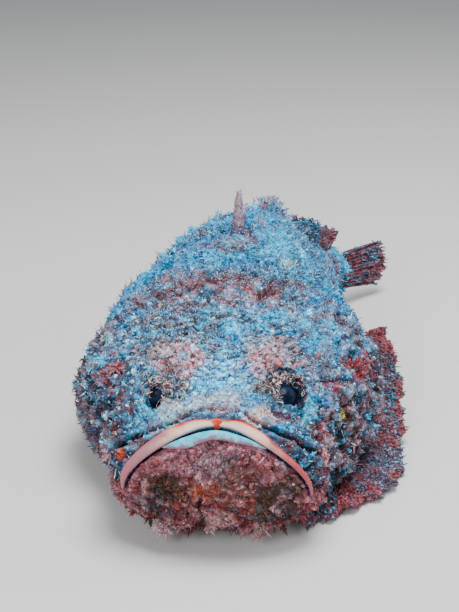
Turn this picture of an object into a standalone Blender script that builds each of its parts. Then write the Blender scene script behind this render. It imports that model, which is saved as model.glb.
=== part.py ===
"""Stonefish lying on the sea floor, head towards -Y, in centimetres until it is scaled to metres.

The fish is drawn straight: x across (its left side at +X), s along the body from the front of the
lower jaw, z up from the floor. It is parted by thin cuts, then its tail is bent to the left.
"""
import math
import random

import bmesh
import bpy
import numpy as np
from mathutils import Matrix, Vector

# Scale and fits
CM = 0.01
GAP = 0.03
WELD = 1e-6

# Body: distance from the jaw's front, half width, height of the widest point, height of the back,
# height of the belly (below 0 it is pressed flat on the floor), fullness of the back's curve
STATIONS = np.array([
    (2.6, 4.65, 3.0, 6.3, 0.60, 2.5),
    (4.6, 5.50, 3.1, 6.75, -0.40, 2.6),
    (6.6, 6.55, 3.4, 6.95, -0.40, 2.4),
    (8.6, 7.15, 3.7, 7.45, -0.40, 2.2),
    (10.8, 6.85, 3.8, 8.7, -0.40, 1.95),
    (13.2, 5.75, 4.0, 9.9, -0.40, 1.75),
    (16.5, 4.70, 4.1, 9.7, -0.35, 1.65),
    (20.0, 3.20, 3.8, 7.8, -0.10, 1.8),
    (23.5, 1.85, 3.0, 5.2, 0.45, 2.0),
    (26.6, 1.05, 2.6, 4.3, 1.00, 2.0),
])
FACE_DEPTH = 2.6
FACE_BLUNTNESS = 2.4
BELLY_FULLNESS = 2.4
TAIL_END = 26.0
TAIL_ROUND = 0.9

# Mesh of the body: rows over the face, rows between these places along it, rows round its end
FACE_ROWS = 11
BODY_ROWS = ((FACE_DEPTH, 11.0, 12), (11.0, 16.0, 5), (16.0, TAIL_END, 7))
END_ROWS = 3
OVER_THE_BACK = 30
UNDER_THE_BELLY = 12

# Swellings and hollows: x, s, z, height, radius, alike on both sides
SWELLINGS = (
    (1.75, 5.3, 6.85, 0.55, 1.0),
    (2.9, 3.7, 6.2, 0.40, 1.1),
    (0.0, 3.0, 6.4, 0.25, 1.0),
    (5.0, 6.0, 4.8, 0.35, 1.2),
    (3.3, 8.0, 6.9, 0.40, 1.2),
    (4.4, 1.8, 4.1, 0.25, 0.8),
    (0.0, 0.2, 3.6, 0.20, 1.2),
    (5.0, 12.4, 7.0, 0.30, 1.3),
)
HOLLOWS = (
    (0.0, 4.9, 6.9, 0.40, 1.1),
    (4.0, 5.2, 5.6, 0.50, 0.9),
    (3.5, 2.8, 5.1, 0.20, 0.8),
    (2.6, 0.3, 3.1, 0.25, 0.8),
    (5.3, 4.3, 4.0, 0.35, 0.8),
)
OCCIPUT_S = 9.8
OCCIPUT_DEPTH = 0.35
OCCIPUT_WIDTH = 0.55
NAPE_STEPS = ((11.4, 0.20), (12.7, 0.20))
NAPE_STEP_WIDTH = 0.4
RELIEF_FLOOR = (0.4, 1.6)

# Mouth: an arch seen from the front
MOUTH_CORNER_X = 3.85
MOUTH_CORNER_Z = 2.95
MOUTH_PEAK_Z = 5.87
MOUTH_ARCH = 1.72
MOUTH_POINTS = 24
JAW_BACK = 3.3
JAW_EDGE = (5.7, 1.9)
LIP_HALF_WIDTH = ((0.0, 0.15), (0.2, 0.25), (0.4, 0.25), (0.6, 0.19), (0.85, 0.13), (1.0, 0.07))
LIP_HALF_HEIGHT = 0.18
LIP_LIFT = 0.06
LIP_SHIFT = 0.8
LIP_SIDES = 8
LIP_RINGS = 32
LOWER_LIP_HALF_WIDTH = ((0.0, 0.15), (0.3, 0.15), (0.5, 0.08))
LOWER_LIP_END = 0.5
LOWER_LIP_LIFT = 0.05
LOWER_LIP_SHIFT = -0.8

# Eyes and nostrils
EYE_RADIUS = 0.62
EYE_PLACE = (2.72, 3.12)
EYE_AXIS = (0.45, -0.72, 0.53)
EYE_SINK = 0.12
LID_RADIUS = 0.60
LID_THICKNESS = 0.16
LID_LIFT = 0.22
NOSTRIL_PLACE = (1.5, 3.3)
NOSTRIL_RADIUS = 0.22
NOSTRIL_RIM = 0.10
LID_SEGMENTS = (14, 6)
NOSTRIL_SEGMENTS = (8, 5)
EYE_SEGMENTS = (12, 7)

# Gill covers: D shaped plates on the cheeks, in s and z
GILL_CENTRE = (8.45, 3.75)
GILL_HALF = (1.95, 2.3)
GILL_FULLNESS = 2.4
GILL_INNER_X = 4.9
GILL_OUTER_X = 9.5
GILL_POINTS = 22
JAW_PRISM_FRONT = -1.5
CUT_REACH = 30.0
BLOCK = ((-12.0, -1.0), (12.0, 14.0))

# Cuts across the body
HEAD_END = 10.8
TORSO_END = 21.0

# Bend of the tail
BEND_START = 11.0
BEND_RADIUS = 22.0

# Fins: base and tip of some rays as (fraction, x, s, z), thickness at root and margin
FIN_ROOT_THICKNESS = 0.36
FIN_EDGE_THICKNESS = 0.16
LEFT_PECTORAL_BASE = ((0.0, 4.0, 5.4, 0.35), (0.25, 5.2, 7.2, 0.45), (0.5, 6.2, 9.4, 1.2),
                      (0.75, 6.5, 10.9, 3.0), (1.0, 6.2, 11.4, 5.0))
LEFT_PECTORAL_TIP = ((0.0, 3.7, 2.0, 0.25), (0.15, 6.0, 3.8, 0.25), (0.3, 7.9, 5.6, 0.25),
                     (0.5, 8.5, 9.4, 0.4), (0.75, 8.4, 12.8, 2.2), (1.0, 7.3, 14.2, 4.8))
RIGHT_PECTORAL_BASE = ((0.0, -5.4, 8.2, 0.35), (0.35, -6.2, 9.6, 1.0), (0.7, -6.5, 10.9, 3.0),
                       (1.0, -6.2, 11.4, 5.0))
RIGHT_PECTORAL_TIP = ((0.0, -6.5, 8.0, 0.25), (0.3, -7.5, 11.2, 0.35), (0.65, -7.4, 14.8, 2.0),
                      (1.0, -6.3, 15.6, 4.2))
PECTORAL_RAYS = 14
PECTORAL_ROWS = 5
PECTORAL_BOW = (0.4, 0.0, 0.2)
PELVIC_BASE = ((0.0, 3.2, 10.6, 0.5), (1.0, 4.6, 12.2, 0.7))
PELVIC_TIP = ((0.0, 5.9, 13.4, 0.22), (0.5, 6.4, 14.6, 0.22), (1.0, 6.0, 15.8, 0.35))
PELVIC_RAYS = 6
PELVIC_ROWS = 3
SPINY_BASE = (13.3, 20.9)
SPINY_COUNT = 13
SPINY_LENGTH = ((0.0, 1.85), (0.09, 1.25), (0.5, 1.2), (0.78, 1.3), (1.0, 1.1))
SPINY_RAKE = ((0.0, 6.0), (0.09, 70.0), (0.5, 72.0), (0.78, 56.0), (1.0, 64.0))
SPINY_WEB = ((0.0, 0.45), (0.09, 0.92), (0.6, 0.92), (1.0, 0.85))
SPINY_NOTCH = 0.10
SPINY_ROWS = 3
SPINE_RADII = (0.19, 0.13, 0.04)
FIRST_SPINE_GIRTH = 1.5
SOFT_BASE = (21.3, 25.2)
SOFT_RAYS = 7
SOFT_ROWS = 4
WHOLE_WEB = ((0.0, 1.0), (1.0, 1.0))
SOFT_LENGTH = ((0.0, 1.2), (0.4, 2.0), (1.0, 1.8))
SOFT_RAKE = ((0.0, 52.0), (1.0, 68.0))
ANAL_BASE = (19.8, 24.4)
ANAL_RAYS = 7
ANAL_ROWS = 4
ANAL_ROOT = (-0.2, 0.45)
ANAL_TIP = (0.5, 1.3, 0.24)
ANAL_LENGTH = ((0.0, 1.6), (0.5, 2.5), (1.0, 2.0))
CAUDAL_BASE = (25.9, 1.6, 3.6)
CAUDAL_RAYS = 12
CAUDAL_LENGTH = 5.4
CAUDAL_SPREAD = 17.0
CAUDAL_CENTRE_Z = 2.15
CAUDAL_ROUNDING = 0.08
CAUDAL_ROWS = 5
FIN_SINK = 0.7
RAY_RIDGE = 0.06
RAY_NOTCH = 0.10

# Skin tassels: root x, s, z, strands, length, alike on both sides; and warts
TASSELS = (
    (2.05, 0.8, 1.15, 3, 0.75), (0.5, 0.7, 1.3, 2, 0.4), (1.3, 0.7, 1.25, 2, 0.45),
    (4.35, 1.7, 4.15, 3, 0.65), (2.3, 4.6, 7.0, 3, 0.6), (3.7, 4.5, 6.6, 2, 0.55),
    (7.0, 8.6, 4.9, 3, 0.65), (5.5, 5.1, 3.1, 2, 0.55), (4.3, 6.6, 6.6, 2, 0.5),
    (1.3, 7.6, 7.3, 2, 0.4), (3.4, 12.5, 8.4, 3, 0.75), (2.4, 13.9, 9.3, 3, 0.75),
    (5.2, 14.4, 6.6, 2, 0.6), (4.3, 16.8, 6.2, 2, 0.6), (3.4, 19.0, 5.6, 2, 0.6), (1.7, 16.0, 9.3, 2, 0.55),
    (4.6, 9.2, 7.0, 2, 0.5),
)
STRAND_RADIUS = 0.11
STRAND_SINK = 0.22
STRAND_TAPER = (1.0, 0.75, 0.3)
STRAND_SPREAD = 0.55
TASSEL_LEAN_BACK = 0.35
STRAND_JITTER = 0.12
STRAND_REACH = (0.75, 1.1)
STRAND_DROOP = (0.0, 0.1, -0.12)
STRAND_FLOOR = 0.12
WART_ROWS = (6.6, 8.0, 9.2, 11.7, 13.0, 14.6, 16.2, 18.0, 19.8)
WART_ANGLES = (28, 46, 62, 78)
WART_JITTER = 0.35
WART_RADIUS = 0.34
WART_HEIGHT = 0.26
WART_TOP = 0.45
WART_SIDES = 5
WART_TILT = 6.0
WART_SIZES = (0.75, 1.25)
JAW_WARTS = ((0.8, 2.1), (1.9, 1.7), (2.9, 2.3), (1.1, 3.5), (2.5, 3.9), (0.0, 4.3))
CLEAR_OF_CUTS = 0.55
CLEAR_OF_GILLS = (5.9, 12.6, 6.7)
CLEAR_OF_SPINES = (12.6, 0.6)
SPINE_ROOT = 0.8
SPINE_KNEE = 0.55
SEED = 7

# Linear colour and roughness of each node
PAINTS = {
    "head": ((0.13, 0.25, 0.36), 0.80),
    "lower_jaw": ((0.17, 0.065, 0.07), 0.80),
    "upper_lip": ((0.62, 0.40, 0.36), 0.45),
    "gill_cover": ((0.12, 0.14, 0.20), 0.80),
    "torso": ((0.15, 0.29, 0.40), 0.82),
    "tail_stalk": ((0.13, 0.21, 0.29), 0.82),
    "dorsal_fin": ((0.24, 0.26, 0.33), 0.75),
    "anal_fin": ((0.11, 0.10, 0.13), 0.75),
    "caudal_fin": ((0.14, 0.13, 0.17), 0.75),
    "pectoral_fin": ((0.14, 0.09, 0.12), 0.78),
    "pelvic_fin": ((0.12, 0.09, 0.12), 0.78),
    "eye": ((0.008, 0.008, 0.010), 0.15),
}


def smooth_line(x, xs, ys):
    """Cubic curve through the points, with the slopes of their neighbours."""
    xs = np.asarray(xs, float)
    ys = np.asarray(ys, float)
    x = np.asarray(x, float)
    slope = np.gradient(ys, xs)
    i = np.clip(np.searchsorted(xs, x) - 1, 0, len(xs) - 2)
    h = xs[i + 1] - xs[i]
    t = np.clip((x - xs[i]) / h, 0, 1)
    start = (2 * t**3 - 3 * t**2 + 1) * ys[i] + (t**3 - 2 * t**2 + t) * h * slope[i]
    end = (3 * t**2 - 2 * t**3) * ys[i + 1] + (t**3 - t**2) * h * slope[i + 1]
    return start + end


def along(fraction, points):
    """Value or place at a fraction of a line given as (fraction, value...) points."""
    points = np.asarray(points, float)
    values = [smooth_line(fraction, points[:, 0], points[:, c]) for c in range(1, points.shape[1])]
    return np.stack(values, -1)


def signed_power(x, exponent):
    return np.sign(x) * np.abs(x) ** exponent


def profile(s):
    s = np.maximum(s, FACE_DEPTH)
    return [smooth_line(s, STATIONS[:, 0], STATIONS[:, c]) for c in range(1, 6)]


def spine_line(u):
    """Place s and scale k of the cross-section at u: the face for u in 0..1, then the body,
    then the rounded end, where u - 1 is the distance past the face in centimetres."""
    u = np.asarray(u, float)
    phi = np.clip(u, 0, 1) * math.pi / 2
    face_s = FACE_DEPTH * (1 - np.cos(phi) ** (2 / FACE_BLUNTNESS))
    face_k = np.sin(phi) ** (2 / FACE_BLUNTNESS)
    s = np.clip(u - 1 + FACE_DEPTH, FACE_DEPTH, TAIL_END)
    turn = np.clip((u - 1 + FACE_DEPTH - TAIL_END) / TAIL_ROUND, 0, 1) * math.pi / 2
    s = np.where(u < 1, face_s, s + TAIL_ROUND * np.sin(turn))
    k = np.where(u < 1, face_k, np.cos(turn))
    return s, k


def plain_body(u, theta):
    """Superellipse sections along the body; theta runs from the left side over the back."""
    s, k = spine_line(u)
    width, middle, back, belly, fullness = profile(s)
    across = np.cos(theta)
    up = np.sin(theta)
    full = np.where(up >= 0, fullness, BELLY_FULLNESS)
    reach = np.where(up >= 0, back - middle, middle - belly)
    x = k * width * signed_power(across, 2 / full)
    z = middle + k * reach * signed_power(up, 2 / full)
    return np.stack([x, s + 0 * x, z], -1)


def relief(p):
    """Height of the swellings and hollows over the plain body."""
    x = np.abs(p[..., 0])
    s = p[..., 1]
    z = p[..., 2]
    height = np.zeros_like(x)
    for sign, spots in ((1, SWELLINGS), (-1, HOLLOWS)):
        for cx, cs, cz, rise, radius in spots:
            distance = (x - cx) ** 2 + (s - cs) ** 2 + (z - cz) ** 2
            height += sign * rise * np.exp(-distance / radius**2)
    top = np.clip((z - 5.5) / 1.5, 0, 1)
    height -= OCCIPUT_DEPTH * top * np.exp(-((s - OCCIPUT_S) / OCCIPUT_WIDTH) ** 2)
    for place, depth in NAPE_STEPS:
        height -= depth * top * np.exp(-((s - place) / NAPE_STEP_WIDTH) ** 2)
    fade = np.clip((z - RELIEF_FLOOR[0]) / (RELIEF_FLOOR[1] - RELIEF_FLOOR[0]), 0, 1)
    return height * fade


def normals_of(u, theta, surface):
    step = 1e-3
    du = surface(u + step, theta) - surface(u - step, theta)
    dt = surface(u, theta + step) - surface(u, theta - step)
    n = np.cross(du, dt)
    return n / np.maximum(np.linalg.norm(n, axis=-1, keepdims=True), 1e-9)


def body(u, theta, extra=0.0):
    """Body with its relief, pressed flat on the floor; extra moves the surface outwards."""
    inner = np.clip(u, 0.02, 1 + TAIL_END + TAIL_ROUND - FACE_DEPTH - 0.02)
    p = plain_body(u, theta)
    n = normals_of(inner, theta, plain_body)
    p = p + n * (relief(p) + extra)[..., None]
    p[..., 2] = np.maximum(p[..., 2], -max(extra, 0.0))
    return p


def face_place(x, z):
    """Parameters u, theta of the face's point that is seen at x, z from the front."""
    width, middle, back, belly, fullness = profile(FACE_DEPTH)
    full = np.where(z >= middle, fullness, BELLY_FULLNESS)
    reach = np.where(z >= middle, back - middle, middle - belly)
    across = (np.abs(x) / width) ** full
    up = (np.abs(z - middle) / reach) ** full
    k = np.minimum((across + up) ** (1 / full), 0.9999)
    theta = np.arctan2(np.sign(z - middle) * np.sqrt(up), np.sign(x) * np.sqrt(across))
    return np.arcsin(k ** (FACE_BLUNTNESS / 2)) * 2 / math.pi, theta


def back_place(x, s):
    """Parameters u, theta of the point of the back that is seen at x, s from above."""
    width, middle, back, belly, fullness = profile(s)
    across = signed_power(x / width, fullness / 2)
    return np.float64(s - FACE_DEPTH + 1), np.arccos(np.clip(across, -1, 1))


def spot(x, s, z):
    """Surface point and outward normal of the body nearest to a place on its skin."""
    if s < FACE_DEPTH:
        u, theta = face_place(np.float64(x), np.float64(z))
    else:
        width, middle, back, belly, fullness = profile(s)
        full = fullness if z >= middle else BELLY_FULLNESS
        reach = back - middle if z >= middle else middle - belly
        across = abs(x / width) ** (full / 2)
        up = abs((z - middle) / reach) ** (full / 2)
        theta = np.arctan2(math.copysign(up, z - middle), math.copysign(across, x))
        u = np.float64(s - FACE_DEPTH + 1)
    return body(u, theta), normals_of(np.float64(u), np.float64(theta), plain_body)


def mouth_line(points=MOUTH_POINTS):
    """Points x, z of the mouth's arch from its left corner over the middle to the right one."""
    turn = np.linspace(0, math.pi, points + 1)
    x = MOUTH_CORNER_X * signed_power(np.cos(turn), 2 / MOUTH_ARCH)
    z = MOUTH_CORNER_Z + (MOUTH_PEAK_Z - MOUTH_CORNER_Z) * np.sin(turn).clip(0) ** (2 / MOUTH_ARCH)
    return np.stack([x, z], -1)


def collection(name):
    made = bpy.data.collections.new(name)
    bpy.context.scene.collection.children.link(made)
    return made


def mesh_object(name, verts, faces, group):
    mesh = bpy.data.meshes.new(name)
    mesh.from_pydata((np.asarray(verts, float) * CM).tolist(), [], [list(f) for f in faces])
    mesh.validate()
    made = bpy.data.objects.new(name, mesh)
    group.objects.link(made)
    return made


def orient(ob):
    """Turn all faces of a closed mesh outwards."""
    bm = bmesh.new()
    bm.from_mesh(ob.data)
    bmesh.ops.recalc_face_normals(bm, faces=bm.faces)
    if bm.calc_volume(signed=True) < 0:
        bmesh.ops.reverse_faces(bm, faces=bm.faces)
    bm.to_mesh(ob.data)
    bm.free()
    return ob


def body_solid(name, group, extra=0.0):
    """The whole body as one closed mesh of triangles."""
    u = list(np.linspace(0, 1, FACE_ROWS + 1)[1:])
    for first, last, rows in BODY_ROWS:
        u += list(np.linspace(first, last, rows + 1)[1:] - FACE_DEPTH + 1)
    end = 1 + TAIL_END - FACE_DEPTH
    u += list(end + TAIL_ROUND * np.linspace(0, 1, END_ROWS + 1)[1:-1])
    over = np.linspace(0, math.pi, OVER_THE_BACK + 1)
    under = np.linspace(math.pi, 2 * math.pi, UNDER_THE_BELLY + 1)[1:-1]
    theta = np.concatenate([over, under])
    grid = body(np.array(u)[:, None] + 0 * theta, theta[None, :] + 0 * np.array(u)[:, None], extra)
    rows, cols = grid.shape[:2]
    front = body(np.zeros(1), np.zeros(1), extra)
    back = plain_body(np.array([end + TAIL_ROUND]), np.zeros(1))
    back[0, 1] += extra
    verts = np.concatenate([grid.reshape(-1, 3), front, back])
    at = np.arange(rows * cols).reshape(rows, cols)
    faces = []
    for i in range(rows - 1):
        for j in range(cols):
            a, b = at[i, j], at[i, (j + 1) % cols]
            c, d = at[i + 1, (j + 1) % cols], at[i + 1, j]
            faces += [(a, b, c), (a, c, d)]
    for j in range(cols):
        faces.append((rows * cols, at[0, (j + 1) % cols], at[0, j]))
        faces.append((rows * cols + 1, at[-1, j], at[-1, (j + 1) % cols]))
    return orient(mesh_object(name, verts, faces, group))


def evaluated_copy(ob, name, group):
    """The object as its modifiers or curve settings make it, as a new mesh object."""
    graph = bpy.context.evaluated_depsgraph_get()
    made = bpy.data.objects.new(name, bpy.data.meshes.new_from_object(ob.evaluated_get(graph)))
    made.matrix_world = ob.matrix_world
    group.objects.link(made)
    return made


def freeze(ob):
    """Put the object's rotation and place into its mesh."""
    ob.data.transform(ob.matrix_basis)
    ob.matrix_basis.identity()
    return ob


def prism(name, outline, first, last, turned, group):
    """A flat outline in centimetres made thick: along Y as seen from the front, or along X."""
    curve = bpy.data.curves.new(name, "CURVE")
    curve.dimensions = "2D"
    curve.fill_mode = "BOTH"
    curve.extrude = abs(last - first) / 2 * CM
    line = curve.splines.new("POLY")
    line.points.add(len(outline) - 1)
    for point, (a, b) in zip(line.points, outline):
        point.co = (a * CM, b * CM, 0, 1)
    line.use_cyclic_u = True
    shape = bpy.data.objects.new(name + "_outline", curve)
    group.objects.link(shape)
    middle = (first + last) / 2 * CM
    if turned == "along_y":
        shape.rotation_euler = (math.pi / 2, 0, 0)
        shape.location = (0, middle, 0)
    else:
        shape.rotation_euler = (math.pi / 2, 0, math.pi / 2)
        shape.location = (middle, 0, 0)
    bpy.context.view_layer.update()
    made = evaluated_copy(shape, name, group)
    bpy.data.objects.remove(shape)
    bm = bmesh.new()
    bm.from_mesh(made.data)
    bmesh.ops.remove_doubles(bm, verts=bm.verts, dist=WELD)
    bmesh.ops.recalc_face_normals(bm, faces=bm.faces)
    bm.to_mesh(made.data)
    bm.free()
    return freeze(made)


def outset(outline, distance):
    """The closed outline moved outwards by a distance; its points run counter-clockwise."""
    p = np.asarray(outline, float)
    edge = np.roll(p, -1, 0) - p
    edge /= np.linalg.norm(edge, axis=1, keepdims=True)
    side = np.stack([edge[:, 1], -edge[:, 0]], -1)
    both = side + np.roll(side, 1, 0)
    both /= (both * both).sum(1, keepdims=True) / 2
    return p + both * distance


def slab(name, first, last, group):
    """A block that holds all of the fish between two places along it."""
    bm = bmesh.new()
    bmesh.ops.create_cube(bm, size=1)
    (left, under), (right, over) = BLOCK
    low = np.array((left, first, under))
    high = np.array((right, last, over))
    bmesh.ops.scale(bm, vec=(high - low) * CM, verts=bm.verts)
    bmesh.ops.translate(bm, vec=(high + low) / 2 * CM, verts=bm.verts)
    mesh = bpy.data.meshes.new(name)
    bm.to_mesh(mesh)
    bm.free()
    made = bpy.data.objects.new(name, mesh)
    group.objects.link(made)
    return made


def ball(name, centre, radius, group):
    bm = bmesh.new()
    around, rings = EYE_SEGMENTS
    bmesh.ops.create_uvsphere(bm, u_segments=around, v_segments=rings, radius=radius * CM)
    bmesh.ops.translate(bm, vec=np.array(centre) * CM, verts=bm.verts)
    mesh = bpy.data.meshes.new(name)
    bm.to_mesh(mesh)
    bm.free()
    made = bpy.data.objects.new(name, mesh)
    group.objects.link(made)
    return made


def boolean(ob, other, operation, solver="EXACT"):
    """Apply one Boolean to the object; other is an object or a collection."""
    step = ob.modifiers.new("step", "BOOLEAN")
    step.operation = operation
    step.solver = solver
    if isinstance(other, bpy.types.Collection):
        step.operand_type = "COLLECTION"
        step.collection = other
    else:
        step.object = other
    bpy.context.view_layer.update()
    graph = bpy.context.evaluated_depsgraph_get()
    ob.data = bpy.data.meshes.new_from_object(ob.evaluated_get(graph))
    ob.modifiers.clear()
    return ob


def keep_largest(ob):
    """Keep the object's largest closed surface and drop scraps and sealed hollows."""
    bm = bmesh.new()
    bm.from_mesh(ob.data)
    bmesh.ops.remove_doubles(bm, verts=bm.verts, dist=WELD)
    bmesh.ops.triangulate(bm, faces=bm.faces)
    left = set(bm.faces)
    pieces = []
    while left:
        queue = [left.pop()]
        piece = []
        while queue:
            face = queue.pop()
            piece.append(face)
            for edge in face.edges:
                for near in edge.link_faces:
                    if near in left:
                        left.remove(near)
                        queue.append(near)
        volume = 0.0
        for face in piece:
            a, b, c = (v.co for v in face.verts)
            volume += a.dot(b.cross(c)) / 6
        pieces.append((volume, piece))
    pieces.sort(key=lambda entry: entry[0])
    drop = [face for volume, piece in pieces[:-1] for face in piece]
    bmesh.ops.delete(bm, geom=drop, context="FACES")
    bm.to_mesh(ob.data)
    bm.free()
    return ob


def tube(name, centres, sides, ups, widths, heights, group):
    """A band of superelliptic rings closed at both ends; sides and ups are the ring's axes."""
    turn = np.linspace(0, 2 * math.pi, LIP_SIDES, endpoint=False)
    across = signed_power(np.cos(turn), 0.8)
    high = signed_power(np.sin(turn), 0.8)
    rings = (centres[:, None, :]
             + sides[:, None, :] * (widths[:, None] * across)[..., None]
             + ups[:, None, :] * (heights[:, None] * high)[..., None])
    count = len(centres)
    at = np.arange(count * LIP_SIDES).reshape(count, LIP_SIDES)
    faces = []
    for i in range(count - 1):
        for j in range(LIP_SIDES):
            nxt = (j + 1) % LIP_SIDES
            faces += [(at[i, j], at[i + 1, j], at[i + 1, nxt]), (at[i, j], at[i + 1, nxt], at[i, nxt])]
    faces += [at[0][::-1].tolist(), at[-1].tolist()]
    return orient(mesh_object(name, rings.reshape(-1, 3), faces, group))


def lip(name, group, widths, shift, lift, reach=1.0, grow=0.0):
    """A rounded band along the mouth's arch, moved up by shift half widths or down where negative.

    The arch's moved points are laid on the face, and carry rings whose axes are the face's normal
    and the direction across the band.
    """
    arch = mouth_line(LIP_RINGS)
    step = np.gradient(arch, axis=0)
    step /= np.linalg.norm(step, axis=1, keepdims=True)
    outward = np.stack([step[:, 1], -step[:, 0]], -1)
    length = np.concatenate([[0], np.cumsum(np.linalg.norm(np.diff(arch, axis=0), axis=1))])
    fraction = np.abs(length / length[-1] * 2 - 1)
    keep = fraction <= reach
    half = along(fraction, widths)[:, 0]
    line = arch + outward * (shift * half + math.copysign(GAP, shift))[:, None]
    u, theta = face_place(line[:, 0], line[:, 1])
    on_face = body(u, theta)
    normal = normals_of(u, theta, plain_body)
    along_band = np.gradient(on_face, axis=0)
    along_band /= np.linalg.norm(along_band, axis=1, keepdims=True)
    across = np.cross(along_band, normal)
    across /= np.linalg.norm(across, axis=1, keepdims=True)
    height = LIP_HALF_HEIGHT * np.minimum(1, half / 0.2) + grow
    centre = on_face + normal * lift
    return tube(name, centre[keep], across[keep], normal[keep], (half + grow)[keep], height[keep], group)


def sheet(name, base, tip, rays, rows, group, bow=(0, 0, 0), ridge=0.0, notch=0.0):
    """A closed fin: base and tip give the places of a ray by its fraction, bow bends the middle.

    Columns alternate between a ray and the web beside it. Rays are thicker by the ridge and
    longer by the notch. Both faces have their triangles' diagonals alike.
    """
    columns = 2 * rays - 1
    fraction = np.linspace(0, 1, columns)
    root = base(fraction)
    end = tip(fraction)
    web = (np.arange(columns) % 2).astype(float)
    t = np.linspace(0, 1, rows + 1)[:, None]
    reach = t * (1 - notch * web)
    line = root[None] + (end - root)[None] * reach[..., None]
    line = line + np.array(bow, float) * (4 * reach * (1 - reach))[..., None]
    du = np.gradient(line, axis=1)
    dt = np.gradient(line, axis=0)
    normal = np.cross(du, dt)
    normal /= np.maximum(np.linalg.norm(normal, axis=-1, keepdims=True), 1e-9)
    half = (FIN_ROOT_THICKNESS * (1 - t) + FIN_EDGE_THICKNESS * t) / 2 + ridge * (1 - web) * (1 - 0.5 * t)
    top = line + normal * half[..., None]
    under = line - normal * half[..., None]
    n = (rows + 1) * columns
    at = np.arange(n).reshape(rows + 1, columns)
    faces = []
    for i in range(rows):
        for j in range(columns - 1):
            a, b, c, d = at[i, j], at[i, j + 1], at[i + 1, j + 1], at[i + 1, j]
            faces += [(a, b, c), (a, c, d), (a + n, c + n, b + n), (a + n, d + n, c + n)]
    rim = list(at[0, :]) + list(at[1:, -1]) + list(at[-1, :-1][::-1]) + list(at[1:-1, 0][::-1])
    for a, b in zip(rim, rim[1:] + rim[:1]):
        faces += [(a, a + n, b + n), (a, b + n, b)]
    verts = np.concatenate([top.reshape(-1, 3), under.reshape(-1, 3)])
    return orient(mesh_object(name, verts, faces, group))


def strand(name, points, radii, group):
    """A soft tapered strand or a spine: a poly curve of four sides with its ends closed."""
    curve = bpy.data.curves.new(name, "CURVE")
    curve.dimensions = "3D"
    curve.bevel_depth = CM
    curve.bevel_resolution = 0
    curve.use_fill_caps = True
    line = curve.splines.new("POLY")
    line.points.add(len(points) - 1)
    for point, place, radius in zip(line.points, points, radii):
        point.co = (*(np.array(place) * CM), 1)
        point.radius = radius
    shape = bpy.data.objects.new(name + "_line", curve)
    group.objects.link(shape)
    bpy.context.view_layer.update()
    made = evaluated_copy(shape, name, group)
    bpy.data.objects.remove(shape)
    bm = bmesh.new()
    bm.from_mesh(made.data)
    bmesh.ops.remove_doubles(bm, verts=bm.verts, dist=WELD)
    bmesh.ops.triangulate(bm, faces=bm.faces)
    bm.to_mesh(made.data)
    bm.free()
    return orient(made)


def tassels(group, chance):
    """Bunches of strands that splay from a root sunk in the skin and droop towards the tail."""
    for x, s, z, strands, length in TASSELS:
        for side in (1, -1):
            root, normal = spot(side * x, s, z)
            aside = np.cross(normal, (0, 1, 0))
            aside /= np.linalg.norm(aside)
            for i in range(strands):
                jitter = chance.uniform(-STRAND_JITTER, STRAND_JITTER)
                splay = STRAND_SPREAD * (i - (strands - 1) / 2) + jitter
                way = normal + aside * splay + np.array([0, TASSEL_LEAN_BACK * (s > FACE_DEPTH), 0])
                way /= np.linalg.norm(way)
                reach = length * chance.uniform(*STRAND_REACH)
                droop = np.array(STRAND_DROOP) * reach
                points = [root - normal * STRAND_SINK + aside * splay * 0.1]
                points += [root + way * reach * t + droop * t * t for t in (0.5, 1.0)]
                points[-1][2] = max(points[-1][2], STRAND_FLOOR)
                radii = [STRAND_RADIUS * taper for taper in STRAND_TAPER]
                strand("tassel", points, radii, group)


def wart_places(chance):
    """Places of the larger warts in rows over the back and cheeks, clear of cuts and fins."""
    for s in WART_ROWS:
        for angle in WART_ANGLES:
            for side in (1, -1):
                at = s + chance.uniform(-WART_JITTER, WART_JITTER)
                theta = math.radians(angle + chance.uniform(-WART_TILT, WART_TILT))
                theta = theta if side > 0 else math.pi - theta
                u = np.float64(at - FACE_DEPTH + 1)
                place = body(u, np.float64(theta))
                near_cut = min(abs(at - HEAD_END), abs(at - TORSO_END)) < CLEAR_OF_CUTS
                near_gill = place[2] < CLEAR_OF_GILLS[2] and CLEAR_OF_GILLS[0] < at < CLEAR_OF_GILLS[1]
                near_spine = at > CLEAR_OF_SPINES[0] and abs(place[0]) < CLEAR_OF_SPINES[1]
                if not (near_cut or near_gill or near_spine):
                    yield place, normals_of(u, np.float64(theta), plain_body)
    for x, z in JAW_WARTS:
        for side in (1, -1) if x else (1,):
            yield spot(side * x, 0, z)


def warts(group, chance):
    for place, normal in wart_places(chance):
        radius = WART_RADIUS * chance.uniform(*WART_SIZES)
        height = WART_HEIGHT * chance.uniform(*WART_SIZES)
        bm = bmesh.new()
        bmesh.ops.create_cone(bm, cap_ends=True, segments=WART_SIDES, radius1=radius * CM,
                              radius2=radius * WART_TOP * CM, depth=2 * height * CM)
        turn = Vector(normal).to_track_quat("Z", "Y").to_matrix().to_4x4()
        spin = Matrix.Rotation(chance.uniform(0, 1.2), 4, "Z")
        bm.transform(Matrix.Translation(Vector(place) * CM) @ turn @ spin)
        mesh = bpy.data.meshes.new("wart")
        bm.to_mesh(mesh)
        bm.free()
        group.objects.link(bpy.data.objects.new("wart", mesh))


def clear(group):
    for ob in list(group.objects):
        bpy.data.objects.remove(ob, do_unlink=True)


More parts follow.
